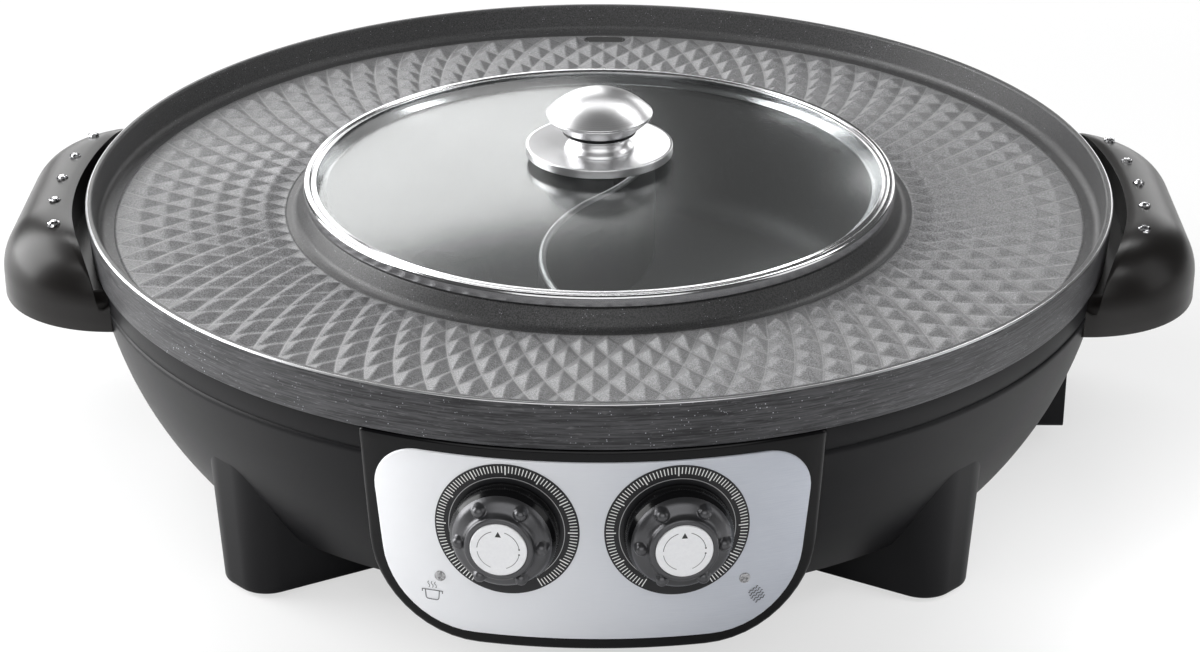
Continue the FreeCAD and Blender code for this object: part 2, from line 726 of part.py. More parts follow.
fascia_screw_holes = [
    cylinder(f"fascia_screw_hole_{index}", d.screw_radius + d.shaft_clearance, d.fascia_foot,
             d.floor_height + d.boss_height, side * d.fascia_screw_width, -fascia_screw_back)
    for index, side in enumerate((-1, 1))]
cover_screw_hole = cylinder("cover_screw_hole", d.screw_radius + d.shaft_clearance,
                            d.floor_height - d.cover_thickness, d.floor_height + d.boss_height,
                            0, -cover_screw_ring)
reflector_screw_hole = cylinder("reflector_screw_hole", d.screw_radius + d.shaft_clearance, ledge_foot,
                                ledge_height + d.reflector_sheet, 0, -reflector_screw_ring)
cover_screw_holes = copies("cover_screw_hole", cover_screw_hole, d.leg_count, d.leg_azimuth)
reflector_screw_holes = copies("reflector_screw_hole", reflector_screw_hole, d.leg_count, d.leg_azimuth)
handle_screw_hole = front_cylinder(
    "handle_screw_hole", d.handle_screw_radius + d.part_clearance, ring_inner,
    bowl_radius + d.shell_wall, z=d.handle_screw_height)
handle_screw_azimuths = [90 - d.handle_screw_azimuth, 90 + d.handle_screw_azimuth]
handle_screw_holes = [
    swung(f"handle_screw_hole_{side}_{index}", handle_screw_hole, side * azimuth)
    for side in (-1, 1) for index, azimuth in enumerate(handle_screw_azimuths)]
node(cut("bowl_with_openings", bowl, front_window, inlet_window, tray_window, ledge_notch,
         group("bowl_screw_holes", *fascia_screw_holes, *cover_screw_holes, *reflector_screw_holes,
               *handle_screw_holes)), "housing_bowl")

leg = new_body("leg")
feature(leg, "Pad", sketch_on(
    leg, "XY_Plane", "leg_plan",
    across((d.leg_nose, -leg_reach, leg_round), (d.leg_root_width, -leg_root)), offset=d.leg_rise),
    Length=d.leg_top - d.leg_rise, TaperAngle=d.leg_draft)
leg_hollow_foot = d.leg_rise + d.leg_floor
leg_swell = (d.leg_inner_top - d.leg_rise) * tangent(d.leg_draft) - d.shell_wall
feature(leg, "Pocket", sketch_on(
    leg, "XY_Plane", "leg_hollow",
    across((d.leg_nose + leg_swell, -leg_reach - leg_swell, leg_round + leg_swell),
           (d.leg_root_width + leg_swell, leg_swell - leg_root)), offset=d.leg_inner_top),
    Length=d.leg_inner_top - leg_hollow_foot, TaperAngle=-d.leg_draft)
feature(leg, "Pocket", sketch_on(
    leg, "XY_Plane", "pad_seat", discs=[(d.pad_radius + d.pad_play, 0, -pad_place)],
    offset=d.pad_thickness), Length=d.pad_thickness)
leg_seat = turned(
    "leg_seat",
    *base_outline(d.shell_gap, d.floor_height),
    (ring_outer + d.shell_gap, d.fascia_top),
    (0, d.fascia_top),
)
fitted_leg = cut("fitted_leg", leg, leg_seat)
node(group("leg_set", *copies("fitted_leg", fitted_leg, d.leg_count, d.leg_azimuth)), "housing_legs")

foot_pad = cylinder("foot_pad", d.pad_radius, 0, d.pad_thickness, 0, -pad_place)
node(group("foot_pad_set", *copies("foot_pad", foot_pad, d.leg_count, d.leg_azimuth)), "foot_pads")

cover_foot = d.floor_height - d.cover_thickness
node(cut("bottom_cover_disc", cylinder("cover_disc", cover_radius, cover_foot, d.floor_height),
         group("cover_holes", *cover_screw_holes)), "bottom_cover")


def screw(name, head_foot, head_top, tip, x=0, y=0, radius=d.screw_radius, head=d.screw_head):
    """An upright screw: its head between two heights, and its shank from there to the tip."""
    rises = tip.value > head_top.value
    foot, top = (head_top, tip) if rises else (tip, head_foot)
    return fuse(name, cylinder(f"{name}_head", head, head_foot, head_top, x, y),
                cylinder(f"{name}_shank", radius, foot, top, x, y))


cover_screw = screw("cover_screw", cover_foot - d.screw_head_height, cover_foot,
                    cover_foot + d.screw_length, 0, -cover_screw_ring)
node(group("cover_screw_set", *copies("cover_screw", cover_screw, d.leg_count, d.leg_azimuth)),
     "bottom_cover_screws")


# ---------------------------------------------------------------- control fascia and its plate

fascia_block = common(
    "fascia_block",
    front_slab("fascia_prism",
               across((d.fascia_foot_width, d.fascia_foot, d.fascia_foot_round),
                      (d.fascia_top_width, d.fascia_top, d.fascia_top_round)),
               fascia_back, fascia_radius),
    cylinder("fascia_face", fascia_radius, d.fascia_foot, d.fascia_top))
fascia_inside = fascia_radius - d.shell_wall
fascia_hollow = common(
    "fascia_hollow",
    front_slab("fascia_hollow_prism",
               across((d.fascia_foot_width - d.shell_wall, d.fascia_foot + d.shell_wall,
                       d.fascia_foot_round - d.shell_wall),
                      (d.fascia_top_width - d.shell_wall, d.fascia_top - d.shell_wall)),
               fascia_back, fascia_radius),
    cylinder("fascia_hollow_face", fascia_inside, d.fascia_foot, d.fascia_top))
fascia_seat = turned(
    "fascia_seat",
    *base_outline(d.shell_gap, d.floor_height - d.part_clearance),
    (ring_outer + d.shell_gap, d.fascia_top),
    (0, d.fascia_top),
)
fascia_lip = box("fascia_lip", d.fascia_foot_width - d.fascia_foot_round,
                 -fascia_back - d.shell_wall, -fascia_back,
                 d.fascia_foot, d.floor_height - d.part_clearance)
fascia_bosses = [
    cylinder(f"fascia_boss_{index}", d.boss_radius, d.fascia_foot, d.floor_height - d.part_clearance,
             side * d.fascia_screw_width, -fascia_screw_back) for index, side in enumerate((-1, 1))]
plate_inside = fascia_radius + d.plate_gap
plate_outside = plate_inside + d.plate_thickness
bush_hole = front_cylinder("bush_hole", d.bush_radius + d.part_clearance, fascia_back, plate_outside,
                           z=d.dial_height)
lens_hole = front_cylinder("lens_hole", d.lens_radius + d.shaft_clearance, fascia_back,
                           plate_outside + d.lens_proud, z=d.lens_height)
panel_holes = group(
    "panel_holes", *(swung(f"{hole.Name}_{index}", hole, side * azimuth)
                     for hole, azimuth in ((bush_hole, d.dial_azimuth), (lens_hole, d.lens_azimuth))
                     for index, side in enumerate((-1, 1))))
node(cut("fascia_with_holes",
         fuse("fascia_with_bosses", cut("fascia_shell", fascia_block, fascia_hollow, fascia_seat),
              fascia_lip, *fascia_bosses),
         group("fascia_holes", *fascia_screw_holes), panel_holes), "control_fascia")

fascia_screw_pair = [
    screw(f"fascia_screw_{index}", d.fascia_foot - d.screw_head_height, d.fascia_foot,
          d.floor_height + d.screw_length, side * d.fascia_screw_width, -fascia_screw_back)
    for index, side in enumerate((-1, 1))]
node(group("fascia_screw_pair", *fascia_screw_pair), "fascia_screws")

node(cut("plate_with_holes", common(
    "plate_blank",
    front_slab("plate_prism",
               across((d.plate_foot_width, d.plate_foot, d.plate_foot_round),
                      (d.plate_top_width, d.plate_top, d.plate_top_round)),
               fascia_back, plate_outside + d.plate_thickness),
    ring_of("plate_sheet", plate_outside, plate_inside, d.plate_foot, d.plate_top)), panel_holes),
    "panel_plate")


# ---------------------------------------------------------------- dials, knobs and thermostats

scale_inside = plate_outside + d.plate_gap
scale_outside = scale_inside + d.scale_thickness
dial_scale = common(
    "dial_scale",
    cut("dial_scale_tube",
        front_cylinder("dial_scale_outer", d.scale_radius, fascia_back, scale_outside + d.plate_gap,
                       z=d.dial_height),
        front_cylinder("dial_scale_inner", d.scale_bore, fascia_back, scale_outside + d.plate_gap,
                       z=d.dial_height)),
    ring_of("dial_scale_sheet", scale_outside, scale_inside, d.plate_foot, d.plate_top))

grip_foot = scale_outside + d.grip_gap
nut_foot = plate_outside + d.plate_gap
nut_top = nut_foot + d.nut_thickness
thermostat_front = fascia_inside - d.shoulder_length - d.shell_gap
bush_end = fascia_inside + d.bush_length
hub_foot = bush_end + d.grip_gap - grip_foot
shaft_end = bush_end + d.shaft_reach
bore_top = shaft_end + d.part_clearance - grip_foot
bore_radius = d.shaft_radius + d.shaft_clearance
grip_side = d.grip_radius - d.grip_draft
grip = turned(
    "grip",
    (0, bore_top),
    (bore_radius, bore_top),
    (bore_radius, hub_foot),
    (d.grip_hub_radius, hub_foot),
    (d.grip_hub_radius, d.grip_cavity),
    (d.grip_radius - d.grip_wall, d.grip_cavity),
    (d.grip_radius - d.grip_wall, 0),
    (d.grip_radius, 0),
    (grip_side, d.grip_skirt, 0, d.grip_bow),
    (d.grip_top_radius, d.grip_height),
    (d.label_radius + d.shaft_clearance, d.grip_height),
    (d.label_radius + d.shaft_clearance, d.grip_height - d.label_recess),
    (0, d.grip_height - d.label_recess),
)
bump = sphere("bump", d.bump_radius, 0, -d.bump_place, d.bump_rise)
grip_with_bumps = fuse("grip_with_bumps", grip, *copies("bump", bump, d.bump_count, 180 / d.bump_count))
grip_label = cylinder("grip_label", d.label_radius, d.grip_height - d.label_recess,
                      d.grip_height - d.label_recess + d.label_thickness)
facing_grip = place(group("facing_grip", grip_with_bumps), 0, -grip_foot, d.dial_height, X_AXIS, 90)
facing_label = place(group("facing_label", grip_label), 0, -grip_foot, d.dial_height, X_AXIS, 90)

shaft_foot = thermostat_front - d.shaft_depth
thermostat_shaft = front_cylinder("thermostat_shaft", d.shaft_radius, shaft_foot, shaft_end, z=d.dial_height)
thermostat_nut = cut(
    "thermostat_nut",
    front_cylinder("nut_blank", d.nut_radius, nut_foot, nut_top, z=d.dial_height),
    front_cylinder("nut_bore", d.bush_radius + d.shaft_clearance, nut_foot, nut_top, z=d.dial_height))
thermostat = cut(
    "thermostat",
    fuse("thermostat_body",
         box("thermostat_case", d.thermostat_width / 2, -thermostat_front,
             d.thermostat_depth - thermostat_front, d.dial_height - d.thermostat_height / 2,
             d.dial_height + d.thermostat_height / 2),
         front_cylinder("thermostat_shoulder", d.shoulder_radius, thermostat_front,
                        thermostat_front + d.shoulder_length, z=d.dial_height),
         front_cylinder("thermostat_bush", d.bush_radius, thermostat_front, bush_end, z=d.dial_height)),
    front_cylinder("thermostat_bore", bore_radius, shaft_foot - d.shell_gap, bush_end, z=d.dial_height))

flange_end = fascia_inside - d.part_clearance
indicator_lens = fuse(
    "indicator_lens",
    front_cylinder("lens_body", d.lens_radius, flange_end - d.lens_flange_thickness,
                   plate_outside + d.lens_proud, z=d.lens_height),
    front_cylinder("lens_flange_disc", d.lens_flange, flange_end - d.lens_flange_thickness, flange_end,
                   z=d.lens_height))
lamp_end = flange_end - d.lens_flange_thickness - d.lamp_gap
indicator_lamp = front_cylinder("indicator_lamp", d.lamp_radius, lamp_end - d.lamp_length, lamp_end,
                                z=d.lens_height)

for name, side in (("left", -1), ("right", 1)):
    for label, piece, azimuth in (
            ("dial_scale", dial_scale, d.dial_azimuth), ("knob", facing_grip, d.dial_azimuth),
            ("knob_label", facing_label, d.dial_azimuth), ("thermostat", thermostat, d.dial_azimuth),
            ("thermostat_shaft", thermostat_shaft, d.dial_azimuth),
            ("indicator_lens", indicator_lens, d.lens_azimuth),
            ("indicator_lamp", indicator_lamp, d.lens_azimuth)):
        node(swung(f"{label}_{name}_swung", piece, side * azimuth), f"{label}_{name}")
node(group("nut_pair", *(swung(f"nut_{index}", thermostat_nut, side * d.dial_azimuth)
                         for index, side in enumerate((-1, 1)))), "thermostat_nuts")


# ---------------------------------------------------------------- handles

handle_top = d.rim_height - d.handle_top_drop
handle_foot = handle_top - d.handle_height
slot_radius = d.rim_radius + d.slot_width


def rounded_block(name, top, height, inset):
    """A D-shaped block on the +X side, inset from the handle's outline, with its upper edge rounded."""
    body = new_body(name)
    reach, half_length = handle_reach - inset, d.handle_half_length - inset
    feature(body, "Pad", sketch_on(body, "XY_Plane", f"{name}_plan", [
        (handle_root, -half_length), (reach, -half_length, d.handle_round - inset),
        (reach, half_length, d.handle_round - inset), (handle_root, half_length)], offset=top),
            Length=height, Reversed=True)
    doc.recompute()
    pad = body.Tip
    rounding = body.newObject("PartDesign::Fillet", f"{name}_rounding")
    rounding.Base = (pad, [
        f"Edge{number}" for number, edge in enumerate(pad.Shape.Edges, 1)
        if all(abs(vertex.Z - as_size(top).value) < 1e-6 for vertex in edge.Vertexes)
        and max(vertex.X for vertex in edge.Vertexes) > handle_root.value + 1])
    bind(rounding, "Radius", d.handle_edge - inset)
    body.Tip = rounding
    return body


handle_block = rounded_block("handle_block", handle_top, d.handle_height, as_size(0))
handle_seat = turned(
    "handle_seat",
    *base_outline(d.seat_clearance, handle_foot),
    (ring_outer + d.seat_clearance, d.slot_foot),
    (slot_radius, d.slot_foot),
    (slot_radius, handle_top),
    (0, handle_top),
)
hollow_top = handle_top - d.handle_wall
handle_hollow = common(
    "handle_hollow",
    rounded_block("handle_hollow_block", hollow_top, hollow_top - handle_foot, d.handle_wall),
    swung("handle_hollow_room", box(
        "handle_hollow_box", d.handle_half_length, -handle_reach, -slot_radius - d.handle_wall,
        handle_foot, hollow_top), 90))

gem_top = handle_top + d.gem_proud
gem_foot = handle_top - d.gem_seat
gem = turned(
    "gem",
    (0, gem_foot),
    (d.gem_radius, gem_foot),
    (d.gem_radius, handle_top),
    (d.gem_table, gem_top),
    (0, gem_top),
)
gem_hole = cylinder("gem_hole", d.gem_radius + d.gem_clearance, gem_foot, handle_top)


def gem_row(name, piece):
    """A row of pieces along the handle, centred on its middle."""
    out = place(group(f"{name}_out", piece), 0, -gem_ring)
    middle = (d.gem_count - 1) / 2
    return [swung(f"{name}_{index}", out, 90 + (index - middle) * d.gem_spacing)
            for index in range(int(d.gem_count.value))]


handle_screw_foot = ring_inner - d.part_clearance
handle_screw_neck = handle_screw_foot + d.handle_screw_head_height
handle_screw = fuse(
    "handle_screw",
    front_cylinder("handle_screw_head", d.handle_screw_head, handle_screw_foot, handle_screw_neck,
                   z=d.handle_screw_height),
    front_cylinder("handle_screw_shank", d.handle_screw_radius, handle_screw_neck,
                   handle_screw_neck + d.handle_screw_length, z=d.handle_screw_height))
handle_pilot = front_cylinder("handle_pilot", d.handle_screw_radius + d.shaft_clearance, handle_screw_neck,
                              handle_screw_neck + d.handle_screw_length + d.part_clearance,
                              z=d.handle_screw_height)
handle = cut(
    "handle", handle_block, handle_seat, handle_hollow, group("gem_holes", *gem_row("gem_hole", gem_hole)),
    group("handle_pilots", *(swung(f"handle_pilot_{index}", handle_pilot, azimuth)
                             for index, azimuth in enumerate(handle_screw_azimuths))))
for label, piece in (
        ("handle", handle),
        ("handle_gems", group("gem_set", *gem_row("gem", gem))),
        ("handle_screws", group("handle_screw_set", *(
            swung(f"handle_screw_{index}", handle_screw, azimuth)
            for index, azimuth in enumerate(handle_screw_azimuths))))):
    node(piece, f"{label}_right")
    mirrored = doc.addObject("Part::Mirroring", f"{label}_mirrored")
    mirrored.Source = piece
    mirrored.Normal = X_AXIS
    node(mirrored, f"{label}_left")


# ---------------------------------------------------------------- mains inlet

inlet_back = inlet_reach - d.inlet_depth
socket_middle = (d.inlet_foot + d.inlet_top) / 2


def about_socket(width, height, round=0):
    """A rectangle centred on the socket."""
    return rectangle(width / 2, socket_middle - height / 2, socket_middle + height / 2, round)


inlet_housing = cut(
    "inlet_housing",
    front_slab("inlet_block", rectangle(d.inlet_half_width, d.inlet_foot, d.inlet_top, d.inlet_round),
               inlet_back, inlet_reach),
    front_slab("inlet_hollow",
               rectangle(d.inlet_half_width - d.inlet_wall, d.inlet_foot + d.inlet_wall,
                         d.inlet_top - d.inlet_wall), inlet_back, inlet_reach - d.inlet_wall),
    front_slab("inlet_opening", about_socket(d.socket_width + d.part_clearance * 2,
                                             d.socket_height + d.part_clearance * 2),
               inlet_back, inlet_reach))
node(swung("inlet_housing_swung", inlet_housing, d.inlet_azimuth), "inlet_housing")

socket_back = inlet_reach - d.socket_length
recess_floor = inlet_reach - d.recess_depth
contact_foot = socket_middle - d.contact_height / 2
contacts = [(-1, -1), (1, -1), (0, 1)]


def contact(name, across_step, up_step, clearance):
    """A flat contact of the socket, from behind the socket into its recess."""
    blade = box(name, d.contact_width / 2 + clearance, -recess_floor - d.contact_length + d.inlet_wall,
                d.inlet_wall * 2 - socket_back, contact_foot + up_step * d.contact_rise - clearance,
                contact_foot + up_step * d.contact_rise + d.contact_height + clearance)
    return place(group(f"{name}_placed", blade), across_step * d.contact_spacing)


appliance_inlet = cut(
    "appliance_inlet",
    front_slab("socket_block", about_socket(d.socket_width, d.socket_height), socket_back, inlet_reach),
    front_slab("socket_recess", about_socket(d.recess_width, d.recess_height, d.recess_round),
               recess_floor, inlet_reach),
    *(contact(f"contact_slot_{index}", *spot, d.shaft_clearance) for index, spot in enumerate(contacts)))
node(swung("appliance_inlet_swung", appliance_inlet, d.inlet_azimuth), "appliance_inlet")
node(swung("inlet_contacts_swung", group(
    "contact_set", *(contact(f"contact_{index}", *spot, 0) for index, spot in enumerate(contacts))),
    d.inlet_azimuth), "inlet_contacts")


# ---------------------------------------------------------------- heating

def ring_element(name, ring, top):
    """A tubular element bent to an open ring, its ends turned down and a terminal out of each."""
    middle = top - d.element_radius
    tube = doc.addObject("Part::Torus", f"{name}_ring")
    bind(tube, "Radius1", ring)
    bind(tube, "Radius2", d.element_radius)
    bind(tube, "Angle3", 360 - d.element_opening)
    place(tube, z=middle, angle=d.element_opening / 2 - 90)
    end = fuse(
        f"{name}_end",
        sphere(f"{name}_bend", d.element_radius, 0, -ring, middle),
        cylinder(f"{name}_leg", d.element_radius, middle - d.element_drop, middle, 0, -ring),
        cylinder(f"{name}_terminal", d.terminal_radius, middle - d.element_drop - d.terminal_length,
                 middle - d.element_drop, 0, -ring))
    return fuse(name, tube, *(swung(f"{name}_end_{index}", end, side * d.element_opening / 2)
                              for index, side in enumerate((-1, 1))))


def element_clips(name, ring, top, foot):
    """Saddles that carry a ring element from below."""
    middle = top - d.element_radius
    half = d.element_radius + d.clip_wall
    saddle = box(f"{name}_saddle", d.clip_width / 2, -ring - half, half - ring, foot, middle)
    groove = doc.addObject("Part::Torus", f"{name}_groove")
    bind(groove, "Radius1", ring)
    bind(groove, "Radius2", d.element_radius + d.clip_clearance)
    place(groove, z=middle)
    return group(name, *copies(f"{name}_copy", cut(f"{name}_clip", saddle, groove), d.clip_count,
                               180 / d.clip_count))


grill_element_top = grill_foot - d.element_gap
pot_element_top = pot_foot - d.element_gap
reflector_top = ledge_height + d.reflector_sheet
well_top = well_floor + d.reflector_sheet
node(ring_element("grill_element", grill_element_ring, grill_element_top), "grill_heating_element")
node(ring_element("pot_element", d.pot_element_ring, pot_element_top), "pot_heating_element")
node(element_clips("grill_clips", grill_element_ring, grill_element_top, reflector_top),
     "grill_element_clips")
node(element_clips("pot_clips", d.pot_element_ring, pot_element_top, well_top), "pot_element_clips")

reflector_rim = bowl_reach(ledge_height, d.shell_wall) - d.reflector_gap
well_inside = well_radius - d.reflector_sheet
reflector = turned(
    "reflector",
    (0, well_floor),
    (well_radius, well_floor, d.well_round),
    (well_radius, ledge_height),
    (reflector_rim, ledge_height),
    (reflector_rim, reflector_top),
    (well_inside, reflector_top),
    (well_inside, well_top, d.well_round - d.reflector_sheet),
    (0, well_top),
)
terminal_holes = [
    swung(f"{hole.Name}_{index}", hole, side * d.element_opening / 2)
    for hole in (cylinder("grill_terminal_hole", d.terminal_hole, ledge_height, reflector_top,
                          0, -grill_element_ring),
                 cylinder("pot_terminal_hole", d.terminal_hole, well_floor, well_top,
                          0, -d.pot_element_ring))
    for index, side in enumerate((-1, 1))]
node(cut("reflector_with_holes", reflector,
         slab("drip_hole", drip_corners, ledge_height, d.reflector_sheet),
         group("reflector_holes", *terminal_holes, *reflector_screw_holes)), "heat_reflector")
reflector_screw = screw("reflector_screw", reflector_top, reflector_top + d.screw_head_height,
                        reflector_top - d.screw_length, 0, -reflector_screw_ring)
node(group("reflector_screw_set", *copies("reflector_screw", reflector_screw, d.leg_count, d.leg_azimuth)),
     "reflector_screws")

node(cylinder("cutout_body", d.cutout_radius, well_floor - d.cutout_height, well_floor,
              d.cutout_place, 0), "thermal_cutout")
block_half = d.terminal_block_depth / 2
node(swung("terminal_block_swung", box(
    "terminal_block_box", d.terminal_block_width / 2, -d.terminal_block_place - block_half,
    block_half - d.terminal_block_place, d.floor_height,
    d.floor_height + d.terminal_block_height), d.inlet_azimuth), "terminal_block")


# ---------------------------------------------------------------- drip tray

def bowl_core(name, inset, foot, top):
    """The inside of the bowl's outer face moved in by inset, between two heights."""
    return turned(name, (0, foot), (bowl_reach(foot, inset), foot, 0, d.bowl_bow - inset),
                  (bowl_reach(top, inset), top), (0, top))


panel_inset = -d.tray_panel_gap
tray_panel_foot = tray_floor - d.tray_panel_below
tray_panel_top = tray_top + d.tray_panel_above
tray_panel = common(
    "tray_panel",
    cut("tray_panel_shell",
        bowl_core("tray_panel_outer", panel_inset - d.tray_panel_thickness, tray_panel_foot,
                  tray_panel_top),
        bowl_core("tray_panel_inner", panel_inset, tray_panel_foot, tray_panel_top)),
    box("tray_panel_room", d.tray_panel_half_width, tray_front, handle_reach,
        tray_panel_foot, tray_panel_top))
tray_block = common(
    "tray_block",
    box("tray_block_box", d.tray_half_width, tray_front, handle_reach, tray_floor, tray_top),
    bowl_core("tray_block_core", panel_inset - d.tray_wall, tray_floor, tray_top))
tray_hollow = common(
    "tray_hollow",
    box("tray_hollow_box", d.tray_half_width - d.tray_wall, tray_front + d.tray_wall, handle_reach,
        tray_floor + d.tray_wall, tray_top),
    bowl_core("tray_hollow_core", d.tray_wall, tray_floor, tray_top))
node(cut("tray_hollowed", fuse("tray_solid", tray_block, tray_panel), tray_hollow), "drip_tray")

guide_front = tray_front - d.tray_clearance - d.guide_wall
guide_top = tray_top + d.tray_clearance - d.part_clearance
node(cut("guide_hollowed", common(
    "guide_block",
    box("guide_box", guide_half_width, guide_front, handle_reach, guide_foot, guide_top),
    bowl_core("guide_core", half_shell, guide_foot, guide_top)),
    box("guide_hollow", guide_half_width - d.guide_wall, guide_front + d.guide_wall, handle_reach,
        guide_foot + d.guide_wall, guide_top)), "tray_guide")


# ---------------------------------------------------------------- check and export

doc.recompute()
failed = [thing.Name for thing in doc.Objects if {"Invalid", "Error"} & set(thing.State)]
if failed:
    raise RuntimeError(f"these objects failed: {failed}")
for piece in NODES:
    if piece.Shape.isNull() or not piece.Shape.isValid() or not piece.Shape.Solids:
        raise RuntimeError(f"{piece.Label} has no valid solid")

os.makedirs("parts", exist_ok=True)
for piece in NODES:
    piece.Shape.exportStep(f"parts/{piece.Label}.step")
    box_size = piece.Shape.BoundBox
    print(f"{piece.Label}: {len(piece.Shape.Solids)} solids, {piece.Shape.Volume / 1000:.2f} cm3, "
          f"{box_size.XLength:.1f} x {box_size.YLength:.1f} x {box_size.ZLength:.1f} mm")
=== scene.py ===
"""Looks of the electric hot pot: grill pan with its divided pot, glass lid, black base, dials and handles.

+Z is up, the dials face -Y and the pan's axis is the Z axis. Pieces are drawn in millimetres; the lamps, the
camera and the textures are in metres.
"""
import json
import math
from functools import partialmethod

import bmesh
import bpy
import numpy as np
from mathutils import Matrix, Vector


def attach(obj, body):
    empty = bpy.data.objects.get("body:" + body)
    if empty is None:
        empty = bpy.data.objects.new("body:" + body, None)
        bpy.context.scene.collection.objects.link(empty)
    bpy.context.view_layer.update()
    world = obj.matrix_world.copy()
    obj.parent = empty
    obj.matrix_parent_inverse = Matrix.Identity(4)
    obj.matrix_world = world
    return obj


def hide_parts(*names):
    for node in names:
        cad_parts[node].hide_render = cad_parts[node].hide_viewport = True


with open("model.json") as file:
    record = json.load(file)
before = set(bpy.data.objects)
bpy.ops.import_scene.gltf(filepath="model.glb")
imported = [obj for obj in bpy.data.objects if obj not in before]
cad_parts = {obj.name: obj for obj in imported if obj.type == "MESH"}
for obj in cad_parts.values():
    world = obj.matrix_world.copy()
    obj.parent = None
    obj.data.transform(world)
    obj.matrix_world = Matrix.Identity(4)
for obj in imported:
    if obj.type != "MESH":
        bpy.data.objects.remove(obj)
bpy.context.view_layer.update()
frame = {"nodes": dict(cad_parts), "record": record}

scene = bpy.context.scene
MM = 0.001
RADIAN = math.degrees(1)

# sizes of the pan, the base, the dials and the handles
RIM_RADIUS, RIM_HEIGHT, BAND_FOOT, WALL_RADIUS = 210, 118, 99, 205.2
GRILL_TOP, GRILL_FOOT = 105.5, 102
COLLAR_RADIUS, COLLAR_TOP = 121.8, 113.2
POT_RADIUS, POT_FLOOR, POT_FOOT, POT_CORNER = 117, 58, 54.5, 14
RELIEF_RINGS = [129.2, 137.6, 147.8, 158, 168.4, 178.8, 189, 199.2]
RELIEF_HEIGHT = 2.9
DIVIDER_TOP, DIVIDER_BOW = 108, 22
BOWL_CENTRE, BOWL_BOW, BOWL_BOW_HEIGHT = 61.34, 147, 108.8
BOWL_FOOT, BOWL_TOP, SHELL_WALL = 22, 89, 2.5
TRAY_WINDOW, FRONT_WINDOW, INLET_TOP = (56.6, 73.8), (24.5, 85), 47.1
LEG_FOOT, LEG_TOP, LEG_DRAFT = 1, 60, math.radians(3)
FASCIA_RADIUS, PLATE_RADIUS, SCALE_RADIUS = 208, 208.85, 209.3
FASCIA_PLAN, FASCIA_EDGE, FASCIA_WALL = ((79, 16.5, 40), (84, 98.5, 2)), 1.6, 2.4
PLATE_PLAN, PLATE_BEVEL = ((73.3, 21.5, 33.3), (80, 94, 16.5)), 0.55
DIAL_AZIMUTH, DIAL_HEIGHT, DIAL_SEAT = math.radians(8.43), 66, 209.9
LENS_AZIMUTH, LENS_HEIGHT = math.radians(15.3), 43.5
BUMP_RING, BUMP_RADIUS, BUMP_SEAT = 14.9, 2.5, 10.6
HANDLE_TOP, HANDLE_FOOT, HANDLE_REACH, HANDLE_HALF = 114.5, 80.5, 242.3, 77
HANDLE_CORNER, HANDLE_ROUND, HANDLE_WALL, HOLLOW_START = 48, 24, 4, 219.5
ARC_X, ARC_Y = HANDLE_REACH - HANDLE_CORNER, HANDLE_HALF - HANDLE_CORNER
SLOT_RADIUS, SLOT_FOOT, RING_SEAT = 215.5, 98, 206.75
SLOT_NARROWING, STONE_RING = 4.4, 222.7
FLOOR_HALF, FLOOR_HEIGHT, FLOOR_GLOW = 6000, -0.6, 0.6


# -------- shader maths

class Field:
    """A value or vector of a material. Arithmetic on it adds Math nodes."""

    def __init__(self, paint, socket):
        self.paint, self.socket = paint, socket

    def math(self, operation, *others):
        return self.paint.node("Math", {"operation": operation}, [self, *others])

    __add__ = __radd__ = partialmethod(math, "ADD")
    __sub__ = partialmethod(math, "SUBTRACT")
    __mul__ = partialmethod(math, "MULTIPLY")
    __pow__ = partialmethod(math, "POWER")
    __mod__ = partialmethod(math, "FLOORED_MODULO")
    __abs__ = partialmethod(math, "ABSOLUTE")

    def __rsub__(self, other):
        return self.paint.node("Math", {"operation": "SUBTRACT"}, [other, self])

    def rise(self, low, high):
        """0 below low, 1 above high, and smooth between them. high may be the smaller one."""
        return self.paint.node("MapRange", {"interpolation_type": "SMOOTHSTEP"},
                               {"Value": self, "From Min": low, "From Max": high})

    def part(self, axis):
        """One coordinate of a vector."""
        return self.paint.node("SeparateXYZ", {}, [self], axis)


class Tree:
    """The nodes of a material or of the world."""

    def __init__(self, owner):
        owner.use_nodes = True
        self.nodes, self.links = owner.node_tree.nodes, owner.node_tree.links

    def node(self, kind, settings, sockets, output=0):
        """Adds a node: its settings first, then the values or links of its sockets."""
        made = self.nodes.new("ShaderNode" + kind)
        for setting, value in settings.items():
            setattr(made, setting, value)
        pairs = sockets.items() if isinstance(sockets, dict) else enumerate(sockets)
        for socket, value in pairs:
            if isinstance(value, Field):
                self.links.new(value.socket, made.inputs[socket])
            else:
                made.inputs[socket].default_value = value
        return Field(self, made.outputs[output])

    def seen(self):
        """1 for the rays that come straight from the camera, 0 for all others."""
        return self.node("LightPath", {}, [], "Is Camera Ray")

    def surface(self, shader):
        """Links a shader to the material's output."""
        self.links.new(shader.socket, self.nodes["Material Output"].inputs["Surface"])


